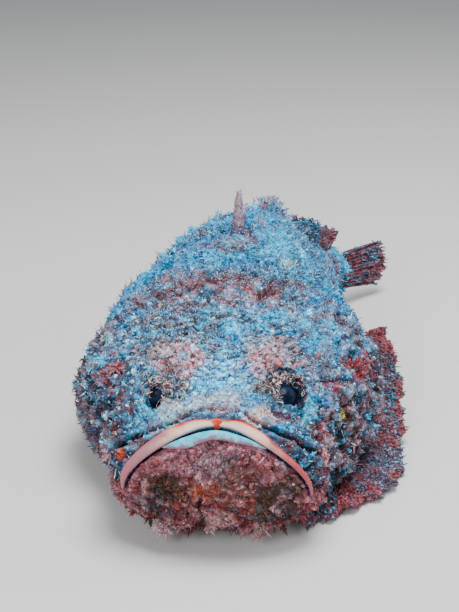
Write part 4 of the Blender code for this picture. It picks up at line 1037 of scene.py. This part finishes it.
# Larger tassels: root x, s, z, strands, length, colour; x above 0 is the fish's left
TASSELS = (
    (-2.05, 0.75, 1.4, 110, 0.60, "pink"), (1.75, 0.75, 1.4, 100, 0.60, "tassel"),
    (-1.2, 0.7, 1.25, 8, 0.4, "maroon"), (-0.2, 0.6, 1.5, 12, 0.4, "tassel"),
    (0.7, 0.7, 1.25, 8, 0.35, "jaw foot"), (-2.9, 1, 1.5, 9, 0.4, "jaw foot"),
    (2.7, 1, 1.5, 9, 0.4, "jaw foot"), (3.5, 1.4, 1.7, 8, 0.4, "red"), (-3.5, 1.3, 1.8, 7, 0.4, "red"),
    (4.45, 1.8, 4.35, 20, 0.60, "tassel"), (-4.3, 1.7, 4.2, 9, 0.6, "tassel"),
    (-2.55, 4.9, 6.9, 12, 0.55, "cream"), (-2.85, 5.6, 6.8, 9, 0.5, "cream"), (2.5, 4.7, 6.9, 9, 0.5, "rose"),
    (3.3, 5.4, 6.5, 8, 0.5, "pink"), (5.75, 7.1, 5.75, 16, 0.70, "red"), (-5.1, 5.9, 5.9, 10, 0.6, "rose"),
    (6.9, 8.6, 4.9, 8, 0.6, "maroon"), (-6.9, 8.6, 4.9, 6, 0.3, "side"), (5.5, 5.1, 3.1, 8, 0.6, "tassel"),
    (5.3, 4.5, 4.63, 10, 0.34, "yellow"), (-5.5, 5.1, 3.1, 6, 0.5, "side"), (4.3, 6.6, 6.6, 6, 0.5, "pink"),
    (-4.3, 6.6, 6.6, 6, 0.5, "pink"), (4.6, 9.2, 7, 6, 0.5, "pink"), (-5.85, 8.64, 6.06, 8, 0.5, "white"),
    (1.3, 7.6, 7.3, 6, 0.4, "pale"), (-1.3, 7.6, 7.3, 6, 0.4, "pale"), (-2.81, 13.6, 8.86, 34, 0.60, "pale"),
    (-3.3, 12.1, 8.4, 26, 0.55, "pale"), (-2.33, 14.1, 9.16, 20, 0.5, "pale"),
    (-1.5, 14.3, 9.6, 14, 0.45, "pale"), (-3.8, 11.7, 7.9, 16, 0.5, "pale"),
    (2.4, 13.9, 9.3, 10, 0.55, "pale"), (3.4, 12.5, 8.4, 10, 0.60, "pale"), (5.2, 14.4, 6.6, 7, 0.6, "pale"),
    (-5.2, 14.4, 6.6, 7, 0.6, "pale"), (4.3, 16.8, 6.2, 7, 0.6, "pale"), (-4.3, 16.8, 6.2, 7, 0.6, "pale"),
    (3.4, 19, 5.6, 6, 0.6, "back"), (-3.4, 19, 5.6, 6, 0.6, "back"), (1.7, 16, 9.3, 7, 0.5, "pale"),
    (-1.7, 16, 9.3, 7, 0.5, "pale"), (6, 7.2, 3, 6, 0.6, "red"), (-6, 7.2, 3, 6, 0.6, "maroon"),
)
SMALL_TASSELS = 230
BRUSH_STRANDS = 50


def tassel_bunches():
    """Branched skin tassels: the named large ones and many small ones strewn over the skin."""
    chance = np.random.default_rng(SEED + 5)
    *place, many, reach, tip = zip(*TASSELS)
    named = GROUND.nearest(np.array([spot(*where)[0] for where in zip(*place)]))
    density = growth_density() * ramp(GROUND.place[..., 2], 0.9, 2.5)
    small = GROUND.roots(SMALL_TASSELS, density, chance)
    roots = Roots(*map(np.concatenate, zip(named, small)))
    many = np.append(many, chance.integers(3, 6, SMALL_TASSELS))
    reach = np.append(reach, chance.uniform(0.22, 0.42, SMALL_TASSELS))
    tip = np.concatenate([[paint(name) for name in tip], lighter(small.tint)])
    pick = np.repeat(np.arange(len(many)), many)
    count = len(pick)
    brush = many[pick] > BRUSH_STRANDS
    reach = reach[pick]
    tip = tip[pick]
    roots = picked(roots, pick)
    way = unit(roots.normal + chance.normal(0, 0.42, (count, 3)) + (0, 0.2, 0))
    long = reach * chance.uniform(0.55, 1.1, count)
    droop = np.array([0, 0.1, -0.14]) + chance.normal(0, 0.12, (count, 3))
    lines = drawn(roots.place, way, long, (-0.3, 0.2, 0.4, 0.6, 0.8, 1), droop * 1.5)
    lines[:, 1:] += chance.normal(0, 0.02, lines.shape)[:, 1:]
    girth = (0.035 + 0.055 * reach)[:, None] * (1, 0.9, 1, 0.8, 0.55, 0.1)
    girth = girth * np.where(brush, 0.45, 1)[:, None]
    side = sideways_of(way, chance)
    shade = np.exp(chance.normal(0, 0.2, count))[:, None]
    grow("skin_tassels", roots._replace(tint=roots.tint * shade), lines, girth, girth * 0.7, side, 6,
         np.clip(tip * shade, 0, 1), 1.4)
    twig = np.repeat(np.arange(count), np.where(brush, 1, 3))
    start = (lines[:, 3] * 0.6 + lines[:, 2] * 0.4)[twig]
    tip = tip[twig]
    roots = picked(roots, twig)._replace(tint=tip)
    way = unit(way[twig] + chance.normal(0, 0.75, (len(twig), 3)))
    long = long[twig] * chance.uniform(0.25, 0.45, len(twig))
    girth = (0.018 + 0.03 * long)[:, None] * (1, 0.9, 0.7, 0.2)
    grow("tassel_twigs", roots, drawn(start, way, long, (0, 0.4, 0.75, 1)), girth, girth * 0.8,
         sideways_of(way, chance), 3, np.clip(tip * 1.1, 0, 1))


def growth_density():
    """Where the crust grows: not on the lips, in the eyes, under the belly or inside the furrows."""
    p = GROUND.place
    crease = 1 - 0.98 * bell(crease_gap(p), 0.20, 4)
    crease = crease * (1 - 0.95 * ramp(jaw_crease(p), 0.05, 0.2))
    crease = crease * (1 - 0.45 * ramp(eye_shadow(p), 0.25, 0.6))
    for side in (1, -1):
        ahead, off = from_opening(p, side)
        crease = crease * ((ahead <= 0) | (off >= 0.66))
    return (1 - ramp(lip_zone(p)[0], 0.05, 0.4)) * ramp(p[..., 2], 0.1, 0.5) * crease


def eye_fringes():
    """Fine pale and dark cirri that stand round the sockets, most of them above."""
    chance = np.random.default_rng(SEED + 9)
    starts = []
    ways = []
    for side, (count, most, spread) in CIRRI.items():
        axis, out, up = eye_axes(side)
        aside, above, size = EYE_OPENING[side]
        turn = np.where(chance.random(count) < 0.8, chance.normal(most, spread, count),
                        chance.uniform(-0.1, 1.2, count)) * PI
        ring = out * np.cos(turn)[:, None] + up * np.sin(turn)[:, None]
        far = 0.56 * size + 1.1 * chance.random(count) ** 1.5 * np.clip(np.sin(turn) + 0.3, 0.2, 1.1)
        middle = eye_centre(side) + out * aside + up * above + axis * 0.45
        root = GROUND.nearest(middle + ring * far[:, None])
        starts.append(root.place + chance.normal(0, 0.04, (count, 3)))
        inward = chance.uniform(0.4, 2.2, count) * (far < 0.95)
        ways.append(unit(root.normal * 0.8 + axis * 0.4 - ring * inward[:, None] + np.array([0, 0, -0.25])
                         + chance.normal(0, 0.45, (count, 3))))
    start = np.concatenate(starts)
    way = np.concatenate(ways)
    count = len(start)
    long = chance.uniform(0.14, 0.40, count)
    t = np.array([-0.3, 0.12, 0.3, 0.48, 0.66, 0.83, 1])
    phase = chance.uniform(0, 2 * PI, count)[:, None]
    curl = phase + chance.uniform(2.5, 6.5, count)[:, None] * t.clip(0)
    first = sideways_of(way, chance)
    second = np.cross(way, first)
    swing = (first[:, None] * (np.cos(curl) - np.cos(phase))[..., None]
             + second[:, None] * (np.sin(curl) - np.sin(phase))[..., None])
    lines = drawn(start, way, long, 0.8 * t) + swing * 0.42 * long[:, None, None]
    lines[:, 1:] += chance.normal(0, 0.012, lines.shape)[:, 1:]
    girth = chance.uniform(0.012, 0.021, count)[:, None] * (1, 1, 1, 0.95, 0.9, 0.8, 0.4)
    cream = mix(plain(start, "cream"), ("pink", 0.35)) * np.exp(chance.normal(-0.3, 0.6, count))[:, None]
    draw = chance.random(count)
    cream = mix(cream, ("navy", 0.9 * (draw < 0.30)), ("pale", 0.4 * (draw > 0.88)),
                ("rose", 0.6 * ((draw > 0.40) & (draw < 0.52))))
    grow("eye_fringes", GROUND.nearest(start)._replace(tint=cream * 0.6), lines, girth * 1.5, girth,
         any_way(count, chance), 4, np.clip(cream * 1.1, 0, 1))


def coat():
    """The crust's grains and flakes, the fuzz and the tassels."""
    full = growth_density()
    _, s, z = parts(GROUND.place)
    back = ramp(z, 5, 7.5) * ramp(s, 8.5, 11)
    cheek = cheeks(GROUND.place)
    chin = fall(z, 1.2, 2) * fall(s, 1.5, 2.5)
    clumps = ramp(clouds(GROUND.place, 0.8, 300, 2), 0.4, 0.65)
    front = 1 + fall(s, 9, 12) + 0.8 * jaw_mask(GROUND.place)
    granules("fine_crust", 10500, full * front, 0.045, SEED + 20)
    granules("coarse_crust", 7500, full * (0.3 + clumps) * front, 0.070, SEED + 21, 6)
    strands("fuzz", 12000, full * (0.5 + 0.8 * back + 0.4 * cheek) * front, 0.13, 0.018,
            1.5, 0.5, 1, SEED + 22)
    strands("long_fuzz", 8000, full * (0.15 + 1.2 * back + 0.4 * cheek + chin) * clumps,
            0.24, 0.021, 1.6, 0.55, 1, SEED + 23, 0.6)
    strands("flakes", 8600, full * (0.4 + clumps + 0.6 * cheek) * front, 0.12, 0.024, 3.4,
            0.8, 0.6, SEED + 24, 0.5, 4)
    tassel_bunches()


FIN_SINK = 0.7
FIN_HALF = (0.18, 0.07)
POINTS_PER_RAY = 10
# Roots and edges of the paired fins: fraction, x, s, z
LEFT_PECTORAL = (
    ((0, 4, 5.4, 0.35), (0.25, 5.2, 7.2, 0.45), (0.5, 6.2, 9.4, 1.2), (0.75, 6.5, 10.9, 3),
     (1, 6.2, 11.4, 5)),
    ((0, 3.7, 2, 0.25), (0.15, 6, 3.8, 0.25), (0.3, 7.9, 5.6, 0.25), (0.5, 8.5, 9.4, 0.4),
     (0.75, 8.4, 12.8, 2.2), (1, 7.3, 14.2, 4.8)))
RIGHT_PECTORAL = (
    ((0, -5.4, 8.2, 0.35), (0.35, -6.2, 9.6, 1), (0.7, -6.5, 10.9, 3), (1, -6.2, 11.4, 5)),
    ((0, -6.5, 8, 0.25), (0.3, -7.5, 11.2, 0.35), (0.65, -7.4, 14.8, 2), (1, -6.3, 15.6, 4.2)))
PELVIC = (
    ((0, 3.2, 10.6, 0.5), (1, 4.6, 12.2, 0.7)),
    ((0, 5.9, 13.4, 0.22), (0.5, 6.4, 14.6, 0.22), (1, 6, 15.8, 0.35)))
# Fins along the back and belly: span of s, and by the fraction along it the rays' length, their rake
# and the membrane's part of a ray
SPINY_COUNT = 13
SPINY = ((13.3, 20.9), ((0, 1.85), (0.09, 1.25), (0.5, 1.2), (0.78, 1.3), (1, 1.1)),
         ((0, 6), (0.09, 74), (0.5, 74), (0.78, 54), (1, 64)),
         ((0, 0.45), (0.09, 0.92), (0.6, 0.92), (1, 0.85)))
SOFT = ((21.3, 25.2), ((0, 1.2), (0.4, 2), (1, 1.8)), ((0, 52), (1, 68)), ((0, 1), (1, 1)))
ANAL_BASE = (19.8, 24.4)
ANAL_LENGTH = ((0, 1.6), (0.5, 2.5), (1, 2))
CAUDAL_S = 25.9
CAUDAL_ROOT = (1.6, 3.6)
CAUDAL_LENGTH = 5.4
CAUDAL_SPREAD = 17
CAUDAL_CENTRE_Z = 2.15
# Shades of the fins: main colour, number of bands, share of red
DUSKY = ("fin", 2.5, 0.55)
REDDISH = ("fin", 2.5, 0.75)
GREYISH = ("side", 2, 0.3)


def fin_tint(line, web, t, main, bands, red):
    """Colour of a fin: its own shade crossed by paler bands, with red patches and dark webs."""
    flecks = clouds(line, 0.6, 400, 3)
    fine = clouds(line, 0.22, 410, 2)
    wave = 0.5 + 0.5 * np.sin(t * bands * PI * 2 + 3 * (flecks - 0.5))
    tint = mix(
        plain(line, main),
        ("side", 0.45 * ramp(flecks, 0.45, 0.65)),
        ("pink", 0.14 * wave),
        ("red", red * ramp(clouds(line, 1.1, 420, 3), 0.46, 0.56)),
        ("dark", 0.40 * web * (1 - wave * 0.5)),
        ("dark", 0.50 * fall(fine, 0.33, 0.45)),
        ("pink", 0.30 * ramp(fine, 0.60, 0.70)))
    return tint, 0.12 + 0.25 * ramp(line[..., 2], 1, 5)


def fin_sheet(name, node, base, tip, rays, rows, shade, seed, bow=(0, 0, 0), ridge=0.05, notch=0.10):
    """A fin as one closed sheet: base and tip give a ray's ends by its fraction.

    Rays are rounded ridges, the web between them is thin and ends short of their tips by the notch
    and by uneven tears.
    """
    columns = (rays - 1) * POINTS_PER_RAY + 1
    fraction = np.linspace(0, 1, columns)
    phase = fraction * (rays - 1)
    web = (1 - np.cos(phase * 2 * PI)) / 2
    t = np.linspace(0, 1, rows + 1)[:, None]
    tear = cloud(joined(fraction * rays * 1.7, seed, 0), 1, seed)
    jag = cloud(joined(fraction * rays * 6, 0, seed), 1, seed + 1)
    reach = t * (1 - notch * web**0.7 - 0.12 * np.clip(tear - 0.35, 0, 1) * (0.4 + 0.6 * web) - 0.05 * jag)
    root = base(fraction)
    line = root + (tip(fraction) - root) * reach[..., None]
    line = line + np.array(bow) * (4 * reach * (1 - reach))[..., None]
    normal = unit(np.cross(np.gradient(line, axis=1), np.gradient(line, axis=0)))
    line = line + normal * (0.10 * np.sin(phase * PI) * ramp(t, 0.2, 1))[..., None]
    half = (FIN_HALF[0] * (1 - t) + FIN_HALF[1] * t) * (0.42 + 0.58 * (1 - web))
    half = half + ridge * (1 - web) ** 3 * (1 - 0.7 * t) + 0.035 * (clouds(line, 0.35, seed + 2, 2) - 0.5)
    half = np.maximum(half, 0.02) * np.sqrt(np.clip(1 - t**8, 0.06, 1))
    at = np.arange(half.size).reshape(half.shape)
    faces = grid_faces(*half.shape, False)
    rim = np.concatenate([at[0, :], at[1:, -1], at[-1, :-1][::-1], at[1:-1, 0][::-1]])
    beside = np.roll(rim, -1)
    edge = np.stack([rim, beside, beside + at.size, rim + at.size], -1)
    points = np.stack([line + normal * half[..., None], line - normal * half[..., None]])
    tint, dust = fin_tint(line, web, t, *shade)
    piece(name, points, [faces, faces[:, ::-1] + at.size, edge], encrusted_skin(name + "_skin"),
          (node,), np.stack([tint, tint]), np.stack([dust, dust]))
    return line, normal, half


def paired(points, side=1):
    """Root, sunk in the body, and edge of one of two fins, by the fraction along them."""
    base, tip = points
    sink = np.array([np.sign(base[0][1]) * FIN_SINK, 0, 0])
    return (lambda f: (along(f, base) - sink) * (side, 1, 1)), (lambda f: along(f, tip) * (side, 1, 1))


def back_fin(span, lengths, rakes, web):
    """Root and edge of a fin along the back, whose rays lean back by their rakes."""
    def base(fraction):
        s = between(span, fraction)
        return joined(0, s, profile(s)[2] - FIN_SINK)

    def edge(fraction):
        s = between(span, fraction)
        rake = np.radians(along(fraction, rakes)[:, 0])
        length = along(fraction, lengths)[:, 0]
        far = joined(0, s + length * np.sin(rake), profile(s)[2] + length * np.cos(rake))
        return base(fraction) + (far - base(fraction)) * along(fraction, web)
    return base, edge


def anal_base(fraction):
    s = between(ANAL_BASE, fraction)
    return joined(-0.2, s, np.maximum(profile(s)[3], 0) + 0.45)


def anal_tip(fraction):
    s = between(ANAL_BASE, fraction)
    return joined(-0.5 * profile(s)[0] - along(fraction, ANAL_LENGTH)[:, 0], s + 1.3, 0.24)


def caudal_base(fraction):
    return joined(0, CAUDAL_S, between(CAUDAL_ROOT, fraction))


def caudal_tip(fraction):
    part = fraction * 2 - 1
    angle = np.radians(part * CAUDAL_SPREAD)
    length = CAUDAL_LENGTH * (1 - 0.08 * part**2)
    return joined(0, CAUDAL_S + length * np.cos(angle), CAUDAL_CENTRE_Z + length * np.sin(angle))


def fringe(name, sheets, count, seed, long=(0.10, 0.32), wide=(0.016, 0.036)):
    """Short flaps and threads on fins, the more of them the nearer to the edge."""
    chance = np.random.default_rng(seed)
    starts = []
    ways = []
    for line, normal, half in sheets:
        n = count // len(sheets)
        row = (chance.random(n) ** 0.6 * (line.shape[0] - 1)).astype(int)
        col = chance.integers(0, line.shape[1], n)
        side = chance.choice([-1, 1], n)[:, None] * normal[row, col]
        out = unit(line[-1, col] - line[0, col])
        starts.append(line[row, col] + side * half[row, col][:, None] * 0.6)
        ways.append(unit(out * 0.8 + side * 0.8 + chance.normal(0, 0.3, (n, 3))))
    start = np.concatenate(starts)
    n = len(start)
    reach = chance.uniform(*long, n)
    lines = drawn(start, np.concatenate(ways), reach, (-0.3, 0.3, 0.7, 1), chance.normal(0, 0.3, (n, 3)))
    roots = GROUND.nearest(start)
    tint = mix(
        roots.tint, ("fin", 0.6 + 0.4 * chance.random(n)), ("red", 0.8 * (cloud(start, 1.1, 421) > 0.6)))
    tint = speckled(tint, chance, 0.35)
    girth = chance.uniform(*wide, n)[:, None] * (1, 0.95, 0.8, 0.3)
    grow(name, roots._replace(tint=tint, dust=roots.dust * 0.4), lines, girth * 1.8, girth,
         any_way(n, chance), 4, lighter(tint), 1)


def dorsal_spines():
    """The spines in their fleshy sheaths, swollen below the tip, the first one the stoutest."""
    span, lengths, rakes, _ = SPINY
    fraction = np.arange(SPINY_COUNT) / (SPINY_COUNT - 1)
    s = between(span, fraction)
    rake = np.radians(along(fraction, rakes)[:, 0])
    length = along(fraction, lengths)[:, 0]
    way = joined(0, np.sin(rake), np.cos(rake))
    foot = joined(0, s, profile(s)[2])
    t = np.append(-0.25, np.linspace(0, 1, 24))
    lump = 0.05 * np.sin(t * 21) + 0.05 * np.sin(t * 9 + fraction[:, None] * 40)
    girth = np.interp(t, (-0.25, 0.2, 0.6, 0.85, 1), (0.24, 0.20, 0.16, 0.10, 0.015))
    girth = girth * np.where(fraction == 0, 1.4, 1)[:, None] * (1 + 1.6 * lump)
    roots = GROUND.nearest(foot)
    grow("dorsal_spines", roots, drawn(foot, way, length, t), girth, girth, 0 * foot + (1, 0, 0), 12,
         plain(foot, "pink"), 0.7)
    chance = np.random.default_rng(SEED + 40)
    pick = np.repeat(np.arange(SPINY_COUNT), 46)
    at = chance.uniform(0, 0.95, len(pick))
    turn = chance.uniform(0, 2 * PI, len(pick))
    out = joined(np.cos(turn), np.sin(turn), 0.3)
    start = foot[pick] + (way * length[:, None])[pick] * at[:, None] + out * 0.10
    reach = chance.uniform(0.08, 0.24, len(pick))
    lines = drawn(start, unit(out + way[pick] * 0.6), reach, (-0.4, 0.3, 0.7, 1))
    lines = lines + chance.normal(0, 0.012, lines.shape)
    girth = np.full((len(pick), 1), 0.018) * (1.2, 1, 0.8, 0.3)
    grow("spine_fringes", picked(roots, pick), lines, girth * 1.4, girth, any_way(len(pick), chance), 3,
         mix(plain(start, "pink"), ("pale", 0.5)), 1)


def fins():
    left = fin_sheet("left_pectoral_fin", "pectoral_fin_left", *paired(LEFT_PECTORAL), 14, 26, REDDISH, 51,
                     (0.4, 0, 0.2))
    right = fin_sheet("right_pectoral_fin", "pectoral_fin_right", *paired(RIGHT_PECTORAL), 14, 26, DUSKY, 52,
                      (-0.4, 0, 0.2))
    fringe("pectoral_fringes", (left, right), 5200, SEED + 60)
    fringe("pectoral_crust", (left, right), 6500, SEED + 63, (0.05, 0.12), (0.03, 0.07))
    for word, side in (("left", 1), ("right", -1)):
        fin_sheet(word + "_pelvic_fin", "pelvic_fin_" + word, *paired(PELVIC, side), 6, 14, DUSKY, 53)
    spiny = fin_sheet("first_dorsal_fin", "dorsal_fin_spiny", *back_fin(*SPINY), SPINY_COUNT, 16, GREYISH, 54,
                      ridge=0.02, notch=0.12)
    soft = fin_sheet("second_dorsal_fin", "dorsal_fin_soft", *back_fin(*SOFT), 7, 18, GREYISH, 55)
    fringe("dorsal_fringes", (spiny, soft), 1300, SEED + 61)
    fin_sheet("anal_fin", "anal_fin", anal_base, anal_tip, 7, 18, DUSKY, 56, ridge=0.04)
    tail = fin_sheet("tail_fin", "caudal_fin", caudal_base, caudal_tip, 12, 26, DUSKY, 57, notch=0.05)
    fringe("tail_fringes", (tail,), 500, SEED + 62)
    dorsal_spines()


def lip_band(name, half_width, shift, lift, half_height, tint_of, nodes=(), rings=260, sides=20):
    """A rounded band along the mouth's arch, moved across by its half width times the shift."""
    arch = mouth_line(rings)
    step = unit(np.gradient(arch, axis=0))
    length = np.append(0, np.cumsum(np.linalg.norm(np.diff(arch, axis=0), axis=1)))
    place = length / length[-1] * 2 - 1
    half = along(place, half_width)[:, 0]
    line = arch + step[:, ::-1] * (1, -1) * (shift * half)[:, None]
    on_face, normal = body(*face_place(*line.T))
    across = unit(np.cross(unit(np.gradient(on_face, axis=0)), normal))
    wide = signed_power(np.cos(circle(sides)), 0.9)
    high = signed_power(np.sin(circle(sides)), 0.9)
    height = half_height * np.minimum(1, half / 0.2)
    points = ((on_face + normal * lift)[:, None] + across[:, None] * (half[:, None] * wide)[..., None]
              + normal[:, None] * (height[:, None] * high)[..., None])
    keep = (place >= half_width[0][0]) & (place <= half_width[-1][0])
    points = points[keep]
    count = len(points)
    end = fan(sides)
    faces = [grid_faces(count, sides, True), end, end[:, ::-1] + (count - 1) * sides]
    tint = tint_of(place[keep][:, None] + 0 * wide, wide[None] + 0 * place[keep][:, None], points)
    piece(name, points, faces, bare_lip(name + " skin"), nodes, tint)


def upper_lip_tint(place, across, points):
    """Cream in the middle, pink to the left corner and mauve to the right, with a red upper edge,
    a painted highlight over the lower half beside the middle and painted shade along the lower edge.
    """
    out = np.abs(place)
    wave = clouds(points, 0.45, 510, 3)
    uneven = across + 0.9 * (wave - 0.5)
    edge = ramp(uneven, 0.32, 0.72) * (1 - 0.75 * ramp(place, 0.26, 0.38))
    edge = edge * (1 - 0.3 * ramp(-place, 0.55, 0.8))
    return mix(
        plain(points, "lip cream"),
        ("lip pink", ramp(out, 0.25, 0.70) * (0.62 + 0.38 * ramp(-place, 0, 0.1))),
        ("lip mauve", ramp(place, 0.25, 0.60) * 0.70),
        ("lip mauve", 0.75 * bell(place - 0.46, 0.11) * ramp(across, -0.5, 0.4)),
        ("lip pink", ramp(place, 0.62, 0.9) * 0.5),
        # Painted highlight: white over the lower half, beside the middle
        ("white", 0.30 * bell(out - 0.18, 0.14) * fall(across, -0.4, 0.5)),
        ("orange", 0.70 * ramp(uneven, -0.6, 0.6) * fall(out, 0.05, 0.50)),
        ("lip edge", 0.95 * edge),
        # Painted shade: mauve along the lower edge
        ("lip mauve", ramp(-across, 0.80, 1) * 0.6),
        ("side", 0.30 * ramp(wave, 0.55, 0.75) * ramp(out, 0.2, 0.4)))


def lower_lip_tint(place, across, points):
    """Pale blue, broken by bluer flecks and by the jaw's colour along its lower edge."""
    flecks = clouds(points, 0.20, 520, 3)
    return mix(
        plain(points, "lower lip"),
        ("back", ramp(flecks, 0.50, 0.62) * 0.45),
        ("white", fall(flecks, 0.38, 0.46) * 0.22),
        ("jaw top", ramp(-across + 2.2 * (flecks - 0.5), 0.25, 0.65) * 0.85),
        ("jaw top", ramp(np.abs(place - 0.03), 0.30, 0.44) * 0.7))


def knob():
    """The small red knob in the middle of the upper lip."""
    place, normal = spot(0, 1.05, 6)
    turn = circle(24)
    rise = np.linspace(-1, 1, 17)[1:-1][:, None]
    ring = np.sqrt(1 - rise**2) * (1 + 0.12 * np.sin(turn * 3) * np.cos(rise * 5))
    x = (0.21 + 0.06 * rise) * ring * np.cos(turn)
    y = 0.13 * ring * np.sin(turn) - 0.04
    z = 0.26 * rise + 0 * turn - 0.10
    points = place + normal * 0.16 + np.stack([x, y, z], -1)
    flat = np.concatenate([points.reshape(-1, 3), points[[0, -1]].mean(1)])
    tint = mix(plain(flat, "knob"), ("lip cream", 0.3 * ramp(clouds(flat, 0.12, 530, 2), 0.5, 0.7)))
    piece("lip_knob", flat, closed_faces(*z.shape), bare_lip("knob skin"), (), tint)


def eyes():
    """Eyeballs with a dark pupil, a narrow speckled iris and a blackish white."""
    for side, word in ((1, "left"), (-1, "right")):
        axis = EYE_AXIS * (side, 1, 1)
        first = unit(np.cross(axis, (0, 0, 1)))
        turn = circle(64)[:, None]
        polar = np.linspace(0, PI, 50)[1:-1][:, None, None]
        ring = first * np.cos(turn) + np.cross(axis, first) * np.sin(turn)
        points = (axis * np.cos(polar) + ring * np.sin(polar)) * (1 + 0.03 * fall(polar, 0.2, 0.6))
        flat = np.concatenate([points.reshape(-1, 3), [axis * 1.03, -axis]])
        off = np.arccos(np.clip(flat @ axis, -1, 1))
        tint = mix(plain(flat, "navy") * 0.6, ("iris", ramp(off, 0.36, 0.44) * fall(off, 0.66, 0.74)))
        piece(word + "_eye", flat * EYE_RADIUS + eye_centre(side), closed_faces(*points.shape[:2]),
              wet_eye(word + " eyeball"), ("eye_" + word,), tint)


CAMERA_PLACE = np.array((3.21, -39.55, 30.17))
CAMERA_AIM = np.array((-0.4, 14.8, 5))
FOCAL_PIXELS = 1162.45
PICTURE_HEIGHT = 612
SENSOR = 36


def camera():
    data = bpy.data.cameras.new("camera")
    data.sensor_width = SENSOR
    data.lens = FOCAL_PIXELS / PICTURE_HEIGHT * SENSOR
    data.dof.use_dof = False
    ob = placed("camera", data)
    back = unit(CAMERA_PLACE - CAMERA_AIM)
    right = unit(np.cross((0, 0, 1), back))
    turn = Matrix([right.tolist(), np.cross(back, right).tolist(), back.tolist()]).transposed().to_4x4()
    ob.matrix_world = Matrix.Translation((CAMERA_PLACE * CM + SHIFT).tolist()) @ turn
    bpy.context.scene.camera = ob


def light(name, place, aim, size, power, colour):
    data = bpy.data.lights.new(name, "AREA")
    data.size = size
    data.energy = power
    data.color = colour
    ob = placed(name, data)
    ob.rotation_mode = "QUATERNION"
    ob.rotation_quaternion = (Vector(aim) - Vector(place)).to_track_quat("-Z", "Y")
    ob.location = place


def studio():
    """A pale floor under three soft lights and a dim sky."""
    half = 4
    points = np.array([(-half, -half, 0), (half, -half, 0), (half, half, 0), (-half, half, 0)])
    floor = placed("floor", fill_mesh("floor", points, [np.array([[0, 1, 2, 3]])]))
    floor.data.materials.append(Finish("pale floor", Roughness=0.85, Base_Color=rgba("floor")).material)
    light("soft light above", (0.12, -0.10, 0.9), (0, 0, 0.04), 0.45, 11, (1, 0.99, 0.97))
    light("front light", (-0.30, -0.80, 0.55), (0, -0.05, 0.04), 0.35, 4.5, (1, 0.98, 0.96))
    light("side light", (0.8, 0.1, 0.4), (0, 0, 0.04), 0.5, 2.5, (0.95, 0.98, 1))
    world = bpy.data.worlds.new("studio")
    bpy.context.scene.world = world
    world.use_nodes = True
    background = world.node_tree.nodes["Background"]
    background.inputs["Color"].default_value = (0.9, 0.95, 1, 1)
    background.inputs["Strength"].default_value = 0.25


SHIFT = frame_shift()
GROUND = Ground(*skin())
CRUST = encrusted_skin("crust", 0.8, 0.4)
coat()
eye_fringes()
lip_band("upper_lip", UPPER_LIP_HALF, 0.75, 0.06, 0.17, upper_lip_tint, ("upper_lip",))
lip_band("lower_lip", LOWER_LIP_HALF, -0.92, 0.03, 0.14, lower_lip_tint)
knob()
eyes()
fins()
studio()
camera()
